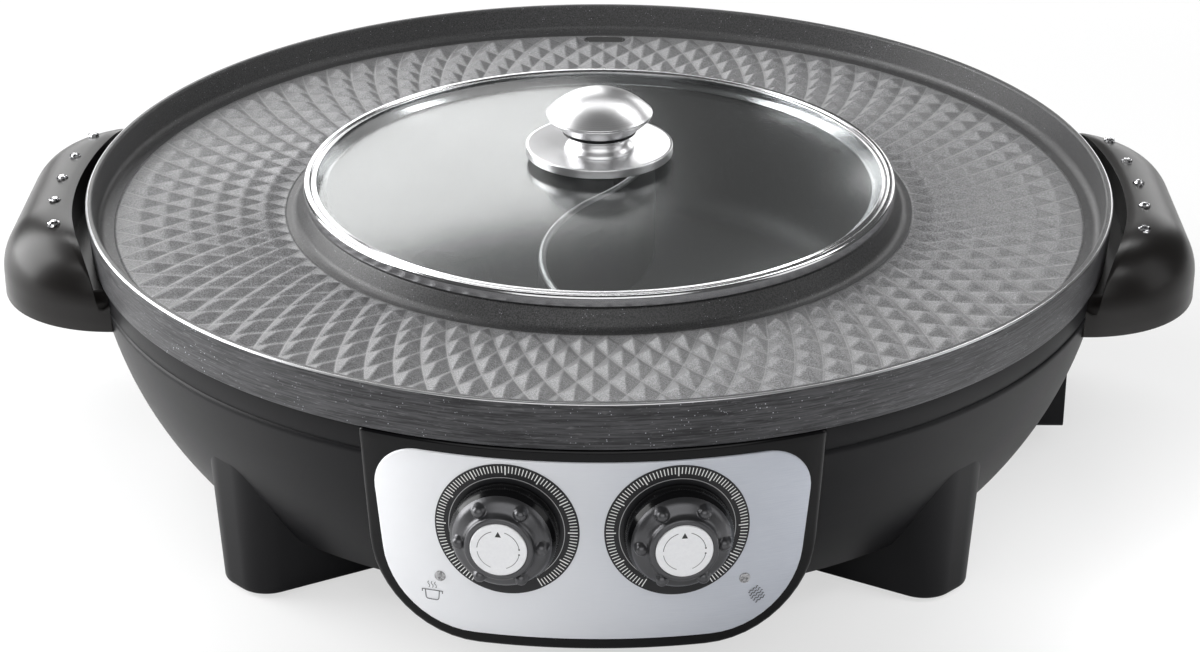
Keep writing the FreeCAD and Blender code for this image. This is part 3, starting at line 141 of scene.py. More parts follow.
class Paint(Tree):
    """A material on one Principled shader, with its constants set on the shader's own sockets."""

    def __init__(self, name, colour, roughness, **constants):
        self.material = bpy.data.materials.new(name)
        super().__init__(self.material)
        self.shader = self.nodes["Principled BSDF"]
        self.shader.inputs["Base Color"].default_value = (*colour, 1)
        self.shader.inputs["Roughness"].default_value = roughness
        for socket, value in constants.items():
            self.shader.inputs[socket.replace("_", " ")].default_value = value

    def place(self, stretch=(1, 1, 1)):
        """Object coordinates, in metres, each axis multiplied by its stretch."""
        spot = self.node("TexCoord", {}, [], "Object")
        if stretch == (1, 1, 1):
            return spot
        return self.node("Mapping", {"vector_type": "POINT"}, {"Vector": spot, "Scale": stretch})

    def uv(self):
        return self.node("UVMap", {"uv_map": "surface"}, [])

    def noise(self, scale, detail=2, roughness=0.5, stretch=(1, 1, 1)):
        return self.node("TexNoise", {"noise_dimensions": "3D"},
                         {"Vector": self.place(stretch), "Scale": scale, "Detail": detail,
                          "Roughness": roughness})

    def cells(self, scale, output="Distance"):
        return self.node("TexVoronoi", {}, {"Vector": self.place(), "Scale": scale}, output)

    def mix(self, amount, low, high):
        """The colour low where amount is 0 and high where it is 1."""
        return self.node("Mix", {"data_type": "RGBA"},
                         {0: amount, 6: low if isinstance(low, Field) else (*low, 1),
                          7: high if isinstance(high, Field) else (*high, 1)}, 2)

    def feed(self, **fields):
        """Links fields to the shader's sockets."""
        for socket, field in fields.items():
            self.links.new(field.socket, self.shader.inputs[socket.replace("_", " ")])

    def done(self, colour, roughness, height=None, distance=0):
        """Ends a finish: colour, roughness and a surface raised by height times distance, in metres."""
        self.feed(Base_Color=colour, Roughness=roughness)
        if height is not None:
            bump = self.node("Bump", {}, {"Height": height, "Distance": distance, "Strength": 1.0})
            self.feed(Normal=bump)
        return self.material


# -------- finishes

def shade(colour, factor):
    """A colour made darker or lighter."""
    return tuple(min(c * factor, 1) for c in colour)


def coated_pan(name="coated_pan", dark=0.026, light=0.085, lattice=False):
    """Dark grey non-stick coating: fine grains between two greys, a few bright flakes and a grained face.

    On the relief the UV map counts the cells both ways, and a painted highlight lightens their edges.
    """
    paint = Paint(name, (dark, dark, dark), 0.4, Metallic=0.2, Specular_IOR_Level=0.4)
    grain = paint.noise(1900, 3, 0.7)
    drift = paint.noise(22, 2)
    flakes = paint.cells(900).rise(0.16, 0.08) * paint.noise(300, 1).rise(0.5, 0.62)
    base = paint.mix(grain.rise(0.35, 0.65), (dark, dark, dark * 1.04), (light, light, light * 1.02))
    middle = (dark + light) / 2
    base = paint.mix(drift.rise(0.3, 0.7) * 0.3, base, (middle, middle, middle))
    if lattice:
        uv = paint.uv()
        edges = [abs(uv.part(axis) % 1 - 0.5) for axis in "XY"]
        # painted highlight: the coating is lightened along the cells' edges, as if they caught the light
        line = edges[0].math("MINIMUM", edges[1]).rise(0.035, 0.01)
        base = paint.mix(line * 0.4, base, (0.5, 0.5, 0.505))
    return paint.done(paint.mix(flakes * 0.8, base, (0.6, 0.61, 0.65)), 0.3 + grain * 0.12, grain, 0.00014)


def machined_band():
    """The pan's band: dark grey, short streaks round the pan and clusters of bright flakes."""
    paint = Paint("machined_band", (0.07, 0.07, 0.072), 0.4, Metallic=0.45, Specular_IOR_Level=0.45)
    streaks = paint.noise(55, 4, 0.65, (1, 1, 24))
    scratches = paint.noise(170, 2, 0.6, (1, 1, 9)).rise(0.58, 0.72)
    flakes = paint.cells(700).rise(0.2, 0.08) * paint.noise(260, 1).rise(0.48, 0.6)
    clusters = paint.noise(14, 1).rise(0.35, 0.65)
    base = paint.mix(streaks.rise(0.32, 0.68), (0.024, 0.024, 0.026), (0.085, 0.085, 0.09))
    base = paint.mix(scratches * 0.25, base, (0.28, 0.28, 0.29))
    return paint.done(paint.mix(flakes * clusters * 0.9, base, (0.7, 0.72, 0.78)),
                      0.34 + streaks * 0.2, streaks + scratches * 0.4, 0.00012)


def satin_black():
    """Moulded satin black plastic with a very fine spark-eroded grain."""
    paint = Paint("satin_black", (0.008, 0.008, 0.009), 0.4, Specular_IOR_Level=0.14)
    grain = paint.noise(1500, 2)
    cloud = paint.noise(9, 2)
    return paint.done(paint.mix(cloud, (0.006, 0.006, 0.007), (0.010, 0.010, 0.011)),
                      0.34 + grain * 0.07 + cloud * 0.04, grain, 0.00002)


def gloss_black(name="gloss_black", colour=(0.004, 0.004, 0.0045), roughness=0.16, gleam=0.2):
    """Glossy moulded plastic with a faint ripple; gleam is how strongly its face mirrors."""
    paint = Paint(name, colour, roughness, Specular_IOR_Level=gleam)
    ripple = paint.noise(60, 2)
    grain = paint.noise(900, 1)
    return paint.done(paint.mix(ripple, shade(colour, 0.85), shade(colour, 1.15)),
                      (roughness - 0.02) + ripple * 0.03 + grain * 0.02, ripple, 0.00003)


def silver_film():
    """The panel's silver film: fine brushing along X, and painted shade, darker and bluer towards +X."""
    paint = Paint("silver_film", (0.6, 0.62, 0.66), 0.42, Metallic=0.3)
    brushing = paint.noise(120, 3, 0.6, (1, 1, 60))
    # painted shade: the colour runs from near white at -X to a darker blue-grey at +X, in place of light
    # falling from the left
    across = paint.place().part("X").rise(-0.08, 0.085)
    base = paint.mix(across, (0.90, 0.91, 0.935), (0.50, 0.53, 0.60))
    return paint.done(paint.mix(brushing.rise(0.3, 0.7) * 0.18, base, (0.85, 0.86, 0.88)),
                      0.36 + brushing * 0.12, brushing, 0.00001)


def dial_print():
    """Black scale ring with white ticks. U is the angle from the top in degrees, V the radius in mm."""
    black = (0.02, 0.02, 0.022)
    paint = Paint("dial_print", black, 0.34, Specular_IOR_Level=0.3)
    uv = paint.uv()
    angle, radius = uv.part("X"), uv.part("Y")

    def ticks(step, fade, width, start):
        """A tick every step degrees, outwards from start; it fades out from its width to the width fade."""
        away = abs((angle + step / 2) % step - step / 2) * radius
        line = away.rise(fade * RADIAN / 2, width * RADIAN / 2)
        return line * radius.rise(start, start + 0.1) * radius.rise(25.75, 25.65)

    minor, major = ticks(3, 0.43, 0.25, 22.95), ticks(30, 0.55, 0.35, 22.15)
    marks = minor.math("MAXIMUM", major) * abs(angle).rise(150.6, 150.1)
    # painted highlight: a grey ring at radius 21.0 to 21.25 stands for the light caught by the recess lip
    # round the knob
    circle = radius.rise(21.25, 21.15) * radius.rise(20.9, 21.0)
    base = paint.mix(marks, black, (0.9, 0.9, 0.89))
    return paint.done(paint.mix(circle, base, (0.45, 0.45, 0.46)), 0.32 + paint.noise(700, 1) * 0.06)


def gunmetal():
    """Satin near-black metallic lacquer of the dial knobs."""
    paint = Paint("gunmetal", (0.1, 0.1, 0.104), 0.34, Metallic=0.8)
    sparkle = paint.noise(2600, 1).rise(0.62, 0.75)
    cloud = paint.noise(40, 1)
    base = paint.mix(cloud, (0.085, 0.085, 0.09), (0.11, 0.11, 0.115))
    return paint.done(paint.mix(sparkle * 0.08, base, (0.25, 0.25, 0.26)), 0.3 + cloud * 0.06)


def label_print():
    """Silver label of a dial: a black pointer, two thin arcs and their dots. The UV map is in millimetres."""
    paint = Paint("label_print", (0.82, 0.82, 0.84), 0.36, Metallic=0.2)
    uv = paint.uv()
    x, y = uv.part("X"), uv.part("Y")
    radius = (x * x + y * y) ** 0.5
    angle = x.math("ARCTAN2", y) * RADIAN
    pointer = (abs(x) - (7.5 - y) * 0.5).rise(0.06, -0.06) * y.rise(5.2, 5.3) * y.rise(7.7, 7.6)
    line = abs(radius - 7.6).rise(0.17, 0.08)

    def arcs(middle, half):
        """The line up to half an arc away from its middle, on the right and on the left."""
        right, left = abs(angle - middle), abs(angle + middle)
        return line * (right.rise(half + 0.5, half) + left.rise(half + 0.5, half))

    def dot(across, up):
        return ((x - across) ** 2 + (y - up) ** 2).rise(0.14, 0.08)

    ink = pointer.math("MAXIMUM", arcs(52, 34) + arcs(128, 30) * 0.8)
    ink = ink.math("MAXIMUM", dot(7.55, 0.9) + dot(7.5, -1.2))
    brushing = paint.noise(900, 2)
    base = paint.mix(brushing, (0.84, 0.845, 0.87), (0.94, 0.945, 0.96))
    return paint.done(paint.mix(ink.math("MINIMUM", 1.0), base, (0.03, 0.03, 0.03)), 0.3 + brushing * 0.1)


def turned_steel(name, colour=(0.8, 0.8, 0.81), roughness=0.3):
    """Steel with turning marks round the Z axis."""
    paint = Paint(name, colour, roughness, Metallic=1.0)
    spot = paint.place()
    x, y, z = spot.part("X"), spot.part("Y"), spot.part("Z")
    radius, marks_per_metre = (x * x + y * y) ** 0.5, 2600
    marks = paint.node("TexNoise", {"noise_dimensions": "1D"},
                       {"W": radius * marks_per_metre + z * marks_per_metre * 0.7, "Detail": 2.0})
    cloud = paint.noise(45, 2)
    return paint.done(paint.mix(marks.rise(0.25, 0.75), shade(colour, 0.9), colour),
                      (roughness - 0.05) + marks * 0.1 + cloud * 0.04, marks, 0.000012)


def lid_glass():
    """Clear tempered glass: see-through, with its gloss growing towards grazing views."""
    paint = Paint("lid_glass", (0.9, 0.93, 0.94), 0.03)
    facing = paint.node("LayerWeight", {}, {"Blend": 0.2}, "Fresnel")
    smears = paint.noise(18, 3, 0.6, (1, 2, 1)).rise(0.35, 0.8)
    gloss = paint.node("BsdfGlossy", {}, {"Color": (1, 1, 1, 1), "Roughness": 0.2})
    clear = paint.node("BsdfTransparent", {}, {"Color": (0.96, 0.97, 0.97, 1)})
    paint.surface(paint.node("MixShader", {}, [facing * 0.33 + smears * 0.012, clear, gloss]))
    paint.nodes.remove(paint.shader)
    return paint.material


def clear_lens():
    """Unlit lens of an indicator: pale grey with a prism pattern inside."""
    paint = Paint("clear_lens", (0.35, 0.35, 0.36), 0.12, Coat_Weight=1.0, Coat_Roughness=0.05)
    tone = paint.cells(1500, "Color").part("X")
    return paint.done(paint.mix(tone, (0.16, 0.16, 0.165), (0.52, 0.52, 0.53)),
                      0.1 + tone * 0.2, tone, 0.00006)


def cut_stone():
    """Bright cut stones, foiled behind, with painted glints: random cells painted dark or bright."""
    paint = Paint("cut_stone", (0.8, 0.8, 0.82), 0.05, Metallic=0.85)
    # painted glints and reflections: cells painted near black or near white stand for the facets' sparkle
    tone = paint.cells(1400, "Color").part("Y")
    return paint.done(paint.mix(tone.rise(0.3, 0.6), (0.05, 0.05, 0.055), (0.9, 0.9, 0.92)),
                      0.04 + tone * 0.08)


def sheet_metal(name, colour, roughness, spread=0.12):
    """Rolled sheet with faint drawing lines and soft clouding."""
    paint = Paint(name, colour, roughness, Metallic=1.0)
    lines = paint.noise(300, 2, 0.6, (1, 14, 1))
    cloud = paint.noise(30, 3)
    return paint.done(paint.mix(cloud, shade(colour, 1 - spread), colour),
                      roughness + lines * 0.1 + cloud * 0.08 - 0.09, lines, 0.00001)


def moulded(name, colour, roughness):
    """Plain moulded or pressed material with a fine grain."""
    paint = Paint(name, colour, roughness)
    grain = paint.noise(900, 2)
    cloud = paint.noise(40, 2)
    return paint.done(paint.mix(cloud, shade(colour, 0.88), shade(colour, 1.08)),
                      roughness - 0.03 + grain * 0.08, grain, 0.00004)


FINISH = {
    # the relief's coating is painted far lighter than the same coating on the rest of the pan: painted light
    # on the relief
    "nonstick": coated_pan(), "relief": coated_pan("coated_relief_painted_light", 0.12, 0.32, True),
    "band": machined_band(),
    # rim_edge: a lighter steel finish on the rim's outer edge and the divider's top edge, a painted highlight
    # along them
    "rim_edge": sheet_metal("rim_edge_painted_highlight", (0.62, 0.62, 0.63), 0.3), "black_plastic": satin_black(),
    "gloss_black": gloss_black(),
    "handle_black": gloss_black("handle_black", (0.008, 0.007, 0.0065), 0.3, 0.25),
    "silver_plate": silver_film(), "dial_print": dial_print(), "gunmetal": gunmetal(),
    "label_print": label_print(), "satin_steel": turned_steel("satin_steel"),
    "steel": turned_steel("bright_steel", (0.62, 0.62, 0.63), 0.13), "glass": lid_glass(),
    "clear_lens": clear_lens(), "stone_set": cut_stone(),
    "sheet_steel": sheet_metal("sheet_steel", (0.6, 0.6, 0.61), 0.38),
    "aluminium": sheet_metal("bright_aluminium", (0.8, 0.8, 0.81), 0.28),
    "element_steel": sheet_metal("element_steel", (0.2, 0.19, 0.18), 0.5, 0.3),
    "brass": sheet_metal("brass", (0.78, 0.6, 0.28), 0.25),
    "ceramic": moulded("ceramic", (0.78, 0.76, 0.7), 0.5),
    "rubber": moulded("rubber", (0.03, 0.03, 0.03), 0.75),
    "lamp_glass": moulded("lamp_glass", (0.7, 0.42, 0.25), 0.15),
    "ink": moulded("panel_ink", (0.06, 0.06, 0.065), 0.5),
}


# -------- meshes

def mesh_of(name, points, faces, finishes, face_finish=None, smooth=True, uv=None, merge=True, turn_out=True):
    """Makes a piece from points in millimetres and four-cornered faces.

    merge closes seams and poles, turn_out points the faces of a closed shell outwards, and uv has one
    pair for every corner of every face.
    """
    points = np.reshape(points, (-1, 3)) * MM
    faces = np.ascontiguousarray(faces, dtype=np.int32)
    mesh = bpy.data.meshes.new(name)
    mesh.vertices.add(len(points))
    mesh.vertices.foreach_set("co", points.ravel())
    mesh.loops.add(faces.size)
    mesh.loops.foreach_set("vertex_index", faces.ravel())
    mesh.polygons.add(len(faces))
    mesh.polygons.foreach_set("loop_start", np.arange(len(faces), dtype=np.int32) * faces.shape[1])
    mesh.update(calc_edges=True)
    for finish in finishes:
        mesh.materials.append(FINISH[finish])
    if face_finish is not None:
        mesh.polygons.foreach_set("material_index", np.ascontiguousarray(face_finish, dtype=np.int32))
    if uv is not None:
        layer = mesh.uv_layers.new(name="surface")
        layer.data.foreach_set("uv", np.ascontiguousarray(uv, dtype=float).ravel())
    if merge:
        work = bmesh.new()
        work.from_mesh(mesh)
        bmesh.ops.remove_doubles(work, verts=work.verts, dist=2e-6)
        bmesh.ops.dissolve_degenerate(work, edges=work.edges, dist=1e-7)
        if turn_out:
            bmesh.ops.recalc_face_normals(work, faces=work.faces)
        work.to_mesh(mesh)
        work.free()
    mesh.polygons.foreach_set("use_smooth", np.full(len(mesh.polygons), smooth))
    mesh.update()
    piece = bpy.data.objects.new(name, mesh)
    scene.collection.objects.link(piece)
    return piece


def grid_faces(rows, columns, wrap_rows=False, wrap_columns=False):
    """The faces of a grid whose points run row by row."""
    index = np.arange(rows * columns).reshape(rows, columns)
    if wrap_rows:
        index = np.vstack([index, index[:1]])
    if wrap_columns:
        index = np.hstack([index, index[:, :1]])
    return np.stack([index[:-1, :-1], index[:-1, 1:], index[1:, 1:], index[1:, :-1]], -1).reshape(-1, 4)


def grid_piece(name, points, finishes, wrap="", **settings):
    """A piece on a grid of points; wrap says which ways it closes: rows, columns or both."""
    points = np.asarray(points)
    faces = grid_faces(*points.shape[:2], wrap in ("rows", "both"), wrap in ("columns", "both"))
    return mesh_of(name, points, faces, finishes, **settings)


def corner_values(values):
    """The values of a grid's points, for every corner of its faces; a way that wraps has one value more."""
    corners = np.stack([values[:-1, :-1], values[:-1, 1:], values[1:, 1:], values[1:, :-1]], 2)
    return corners.reshape(-1, values.shape[-1])


def fitted(piece, body, *nodes, slot=None, sharp=None):
    """Puts a piece on its body, in place of its CAD nodes, and keeps edges sharper than an angle."""
    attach(piece, body)
    if nodes:
        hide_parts(*nodes)
    if sharp:
        piece.data.set_sharp_from_angle(angle=math.radians(sharp))


def rounded(corners, steps=5):
    """A closed outline through corners (x, y, radius): each corner with a radius becomes an arc.

    The arc is tangent to both sides, sampled evenly by angle, always in the same number of points.
    """
    corners = [(*corner, 0)[:3] for corner in corners]
    pieces = []
    for index, (x, y, radius) in enumerate(corners):
        here = np.array([x, y], float)
        if not radius:
            pieces.append(here[None])
            continue
        sides = [np.array(corners[i % len(corners)][:2], float) - here for i in (index - 1, index + 1)]
        before, after = [side / np.linalg.norm(side) for side in sides]
        half = math.acos(np.clip(before @ after, -1, 1)) / 2
        centre = here + (before + after) / np.linalg.norm(before + after) * radius / math.sin(half)
        start = here + before * radius / math.tan(half) - centre
        end = here + after * radius / math.tan(half) - centre
        share = np.linspace(0, 1, steps + 1)[:, None]
        sweep = math.pi - 2 * half
        arc = start * np.sin((1 - share) * sweep) + end * np.sin(share * sweep)
        pieces.append(centre + arc / math.sin(sweep))
    return np.vstack(pieces)


def whole_turn(parts):
    return np.linspace(0, 2 * math.pi, parts, endpoint=False)


def on_axis(outline):
    """Moves the points of an outline that are next to the axis onto it."""
    outline[:, 0] = np.where(outline[:, 0] < 0.01, 0, outline[:, 0])
    return outline


def middles(outline):
    """The middle of every side of a closed outline."""
    return (outline + np.roll(outline, -1, 0)) / 2


def level(plan, height):
    """A plan's points at a height."""
    return np.column_stack([plan, np.full(len(plan), height)])


def around(radii, turn, heights):
    """Points about the Z axis, at azimuths counted from -Y towards +X."""
    return np.stack([radii * np.sin(turn), -radii * np.cos(turn), heights + 0 * turn], -1)


def turned(name, outline, finishes, columns=288, face_finish=None):
    """A surface of revolution: the closed outline of radii and heights carried round the Z axis."""
    outline = np.asarray(outline, float)
    turn = whole_turn(columns)
    if face_finish is not None:
        face_finish = np.repeat(face_finish, columns)
    points = around(outline[:, :1], turn, outline[:, 1:])
    return grid_piece(name, points, finishes, "both", face_finish=face_finish)


def reach(height):
    """The radius of the bowl's side at a height."""
    return BOWL_CENTRE + np.sqrt(BOWL_BOW ** 2 - (np.asarray(height, float) - BOWL_BOW_HEIGHT) ** 2)


def swing(points, azimuth):
    """Turns points that face -Y about the Z axis towards +X."""
    c, s = math.cos(azimuth), math.sin(azimuth)
    x, y, z = np.moveaxis(points, -1, 0)
    return np.stack([x * c - y * s, x * s + y * c, z], -1)


def swung_copies(name, points, azimuths, finishes, side=1, **settings):
    """One piece of several copies of a grid closed by columns, each swung to its azimuth."""
    copies = np.array([swing(points, azimuth) for azimuth in azimuths])
    copies[..., 0] *= side
    faces = grid_faces(*points.shape[:2], wrap_columns=True)
    faces = np.vstack([faces + k * points[..., 0].size for k in range(len(azimuths))])
    return mesh_of(name, copies, faces, finishes, **settings)


def walled(piece, thickness, even=False):
    """Gives a piece a wall, inwards from its outer face."""
    wall = piece.modifiers.new("wall", "SOLIDIFY")
    wall.thickness, wall.offset, wall.use_even_offset = thickness * MM, -1, even
    return piece


# -------- grill pan with its pot

def pan_body():
    """The casting turned as one closed outline: band, rim, wall, grill floor, collar, pot and its back."""
    outline = on_axis(rounded([
        (208.5, BAND_FOOT, 0.5), (RIM_RADIUS, RIM_HEIGHT, 1.2), (207, RIM_HEIGHT, 1.2),
        (WALL_RADIUS, GRILL_TOP, 3.5), (125.3, GRILL_TOP, 3.5), (COLLAR_RADIUS, COLLAR_TOP, 1),
        (POT_RADIUS, COLLAR_TOP, 1), (110, POT_FLOOR, POT_CORNER), (0.001, POT_FLOOR), (0.001, POT_FOOT),
        (113.5, POT_FOOT, 17.5), (120.5, GRILL_FOOT, 3.5), (WALL_RADIUS, GRILL_FOOT),
        (WALL_RADIUS, BAND_FOOT)], 6))
    radius, height = middles(outline).T
    band = (radius > 207.6) & (height < RIM_HEIGHT - 0.8)
    # the outer top edge of the rim takes the rim_edge finish, a painted highlight
    edge = (radius > 208.9) & (height >= RIM_HEIGHT - 0.8)
    return turned("pan_casting", outline, ["nonstick", "band", "rim_edge"], 360, band + 2 * edge)


def pan_relief():
    """Pyramids on a lattice of diamonds.

    u is the azimuth over 2 degrees and t the place between the rings. p = (u + t) / 2 and q = (u - t) / 2
    count the cells, and the height falls from 1 at a cell's middle to 0 at its edge with the larger of the
    two distances to it. Cells whose middle is on the first or last ring are left flat, and so is the
    place of the drain slot.
    """
    fine, rings = 8, len(RELIEF_RINGS) - 1
    u = np.arange(180 * fine) / fine
    t = np.arange(rings * fine + 1) / fine
    uu, tt = np.meshgrid(u, t)
    p, q = (uu + tt) / 2, (uu - tt) / 2
    p_cell, q_cell = np.floor(p + 0.5), np.floor(q + 0.5)
    edge = np.maximum(abs(p - p_cell), abs(q - q_cell))
    row = p_cell - q_cell
    height = np.clip(1 - 2 * edge, 0, 1) * ((row > 0.5) & (row < rings - 0.5))
    height = RELIEF_HEIGHT * (height - 0.06 * np.clip(height * 8 - 7, 0, 1)) + GRILL_TOP + 0.02
    radii = np.interp(t, np.arange(rings + 1), RELIEF_RINGS)[:, None] + 0 * uu
    turn = np.radians(2 * uu)
    beside_slot = (radii > 186) & (abs(radii * np.sin(turn)) < 13) & (np.cos(turn) < 0)
    height = np.where(beside_slot, GRILL_TOP + 0.02, height)
    radii = np.vstack([radii, radii[-1:], radii[:1]])
    height = np.vstack([height, np.full((2, height.shape[1]), GRILL_TOP - 1.0)])
    cell = np.stack([p, q], -1)
    cell = np.concatenate([cell, cell[-1:], cell[:1], cell[:1]])
    cell = np.concatenate([cell, cell[:, -1:] + 0.5 / fine], 1)
    return grid_piece("pan_relief", around(radii, turn[0], height), ["relief"], "both",
                      uv=corner_values(cell))


def pot_divider():
    """The S wall: two equal arcs that meet on the axis; its rounded top edge has a painted highlight finish.

    A section of the wall is carried along the S, and its ends follow the slope of the pot's side.
    """
    length = POT_RADIUS + 1.75
    bow = (length ** 2 / 4 + DIVIDER_BOW ** 2) / (2 * DIVIDER_BOW)
    half_turn = math.asin(length / 2 / bow)
    section = rounded([(-1.9, 56.5), (1.9, 56.5), (1.5, DIVIDER_TOP, 1.45), (-1.5, DIVIDER_TOP, 1.45)])
    along = np.linspace(-1, 1, 121)
    offset, heights = section[:, :1], section[:, 1:]
    wall = np.interp(heights, [POT_FLOOR, 72, COLLAR_TOP], [104, 111.8, POT_RADIUS]) + 1.4
    share = along[None] * wall / length
    turn = (abs(share) * 2 - 1) * half_turn
    side = np.sign(share + 1e-12)
    x = side * bow * (np.cos(turn) - math.cos(half_turn)) + offset * np.cos(turn)
    y = side * (length / 2 + bow * np.sin(turn)) + offset * np.sin(turn)
    # the top edge takes the rim_edge finish, a painted highlight
    edge = np.repeat(middles(section)[:, 1] > DIVIDER_TOP - 1.3, len(along) - 1)
    return grid_piece("pot_divider", np.stack([x, y, heights + 0 * x], -1), ["nonstick", "rim_edge"], "rows",
                      face_finish=edge)


def drain_slot():
    """A slot on the grill floor with a raised lip round it, and a black sheet in it as painted shade."""
    inner = rounded([(8.5, 190.7, 2.8), (8.5, 196.7, 2.8), (-8.5, 196.7, 2.8), (-8.5, 190.7, 2.8)], 6)
    centre = np.array([0, 193.7])
    grow = inner - centre
    outwards = grow / np.linalg.norm(grow, axis=1)[:, None]
    section = [(0, -0.9), (0, 0.12), (0.5, 0.35), (1.1, 0.2), (1.5, -0.1), (0.4, -0.9)]
    lip = [level(inner + outwards * out, GRILL_TOP + rise) for out, rise in section]
    # painted shade: a black sheet just above the grill floor stands for the dark inside the slot
    dark = [level(centre + grow * share * 1.001, GRILL_TOP + 0.1) for share in np.linspace(0, 1, 4)]
    return (grid_piece("drain_slot_lip", lip, ["nonstick"], "both"),
            grid_piece("drain_slot_shade", dark, ["rubber"], "columns", turn_out=False))


for piece in (pan_body(), pan_relief(), pot_divider(), *drain_slot()):
    fitted(piece, "pan", "grill_pan", slot="nonstick", sharp=32 if piece.name == "drain_slot_lip" else None)


# -------- lid

def arc_down(radius_from, radius_to, crown, bow, steps):
    """Points of a dome of radius bow below its crown, between two radii."""
    radii = np.linspace(radius_from, radius_to, steps)
    return np.column_stack([radii, crown - bow + np.sqrt(bow ** 2 - radii ** 2)])


LID_RADIUS, LID_FOOT, LID_TOP, LID_SHEET = 122, 113.5, 118.3, 0.7
GLASS_BOW, GLASS_CROWN, GLASS_THICKNESS, GLASS_EDGE = 637.9, 128.0, 3, 117.4
DISH_FOOT, DISH_TOP, NECK_TOP, GASKET_TOP = 128.05, 129.05, 136.45, 137.95
KNOB_RADIUS, KNOB_DOME, KNOB_TOP, BORE = 21.9, 9.7, 154.25, 2.6

rim_outline = rounded([
    (LID_RADIUS, LID_FOOT, 0.6), (LID_RADIUS, LID_TOP, 1.5), (119.3, LID_TOP, 0.5),
    (118.7, LID_TOP - 0.75, 0.3), (117.6, LID_TOP - 0.6, 0.3), (116.5, LID_TOP - 0.1, 0.3),
    (116.3, LID_TOP - LID_SHEET), (121.3, LID_TOP - LID_SHEET, 0.5), (121.3, LID_FOOT + LID_SHEET),
    (112.5, LID_FOOT + LID_SHEET),
    (112.5, LID_FOOT), (114.3, LID_FOOT), (114.3, LID_FOOT - 3.2), (115, LID_FOOT - 3.2), (115, LID_FOOT)], 4)
fitted(turned("lid_rim_band", rim_outline, ["steel"], 360), "lid", "lid_rim", slot="steel")

glass_outline = np.vstack([
    [[120.6, GLASS_EDGE - GLASS_THICKNESS], [120.6, GLASS_EDGE], [117.6, GLASS_EDGE]],
    arc_down(115.8, 4, GLASS_CROWN, GLASS_BOW, 60),
    arc_down(4, 115.8, GLASS_CROWN - GLASS_THICKNESS, GLASS_BOW, 60)])
fitted(turned("lid_glass_dome", glass_outline, ["glass"]), "lid", "lid_glass", slot="glass", sharp=40)

dish_outline = rounded([
    (BORE, DISH_FOOT), (15.3, DISH_FOOT, 6), (29.3, 130.0, 0.6), (29.5, 127.5, 0.2), (30.3, 127.5, 0.2),
    (30.3, 131.05, 0.45), (29.2, 131.15, 0.5), (14.3, DISH_TOP, 4), (BORE, DISH_TOP)])
fitted(turned("lid_knob_saucer", dish_outline, ["satin_steel"], 192), "lid", "lid_knob_dish", slot="steel")

neck_outline = rounded([
    (13.3, DISH_TOP), (14.3, DISH_TOP, 0.2), (14.0, 130.2, 1.2), (11.2, 132.6, 3.5), (12.0, 135.4, 3),
    (13.5, NECK_TOP, 0.2), (BORE, NECK_TOP), (BORE, 135.45), (10.4, 135.0), (10.2, 132.4),
    (12.6, 129.6)])
fitted(turned("lid_knob_neck_flare", neck_outline, ["satin_steel"], 192), "lid", "lid_knob_neck",
       slot="steel")

gasket_outline = rounded([
    (BORE, NECK_TOP), (15.2, NECK_TOP, 0.3), (15.2, GASKET_TOP, 0.3), (BORE, GASKET_TOP)], 4)
fitted(turned("lid_neck_gasket", gasket_outline, ["black_plastic"], 128), "lid", "lid_neck_ring",
       slot="black_plastic")

KNOB_BOW = (KNOB_RADIUS ** 2 + KNOB_DOME ** 2) / (2 * KNOB_DOME)
knob_outline = np.vstack([
    rounded([(BORE, GASKET_TOP), (15.6, GASKET_TOP, 0.8), (20.4, 142.4, 6), (21.5, 143.4, 0.3),
             (21.25, 143.75, 0.2)])[:-1],
    [[21.45, 143.95], [21.85, 144.35], [KNOB_RADIUS, 144.7]],
    arc_down(21.6, 0.0, KNOB_TOP, KNOB_BOW, 40), [[0, 145.95], [BORE, 145.95]]])
fitted(turned("lid_knob_ball", knob_outline, ["satin_steel"], 192), "lid", "lid_knob", slot="satin_steel")


# -------- base shell

def bowl_shell():
    """The bowl's outer face on a grid of azimuths and heights, open at the windows, with its wall."""
    def edges(half, distance, middle):
        """The azimuths of a window's sides: half its width to both sides, that far from the axis."""
        half_turn = math.degrees(math.asin(half / distance))
        return [middle - half_turn, middle + half_turn]

    tray, inlet, front = edges(26.4, 202, 180), edges(17.1, 192, 90), edges(42, 190, 0)
    azimuths = np.unique(np.round(np.concatenate([np.arange(-75, 285, 1.25), tray, inlet, front]), 4))
    azimuths = azimuths[np.concatenate([[True], np.diff(azimuths) > 0.02])]
    window_heights = [*TRAY_WINDOW, *FRONT_WINDOW, INLET_TOP]
    heights = np.unique(np.concatenate([np.linspace(BOWL_FOOT, BOWL_TOP, 26), window_heights]))
    radii = np.concatenate([[128, 150, 170], reach(heights)])
    heights = np.concatenate([[BOWL_FOOT] * 3, heights])
    points = around(radii[:, None], np.radians(azimuths), heights[:, None])
    faces = grid_faces(*points.shape[:2], wrap_columns=True)
    middle_height = np.repeat((heights[:-1] + heights[1:]) / 2, len(azimuths))
    following = np.append(azimuths[1:], azimuths[0] + 360)
    middle_azimuth = np.tile((azimuths + following) / 2, len(heights) - 1)

    def window(azimuth, low, high):
        return ((middle_azimuth > azimuth[0]) & (middle_azimuth < azimuth[1])
                & (middle_height > low) & (middle_height < high))

    open_faces = (window(tray, *TRAY_WINDOW) | window(inlet, BOWL_FOOT, INLET_TOP)
                  | window(front, *FRONT_WINDOW))
    return walled(mesh_of("base_bowl", points, faces[~open_faces], ["black_plastic"]), SHELL_WALL, even=True)


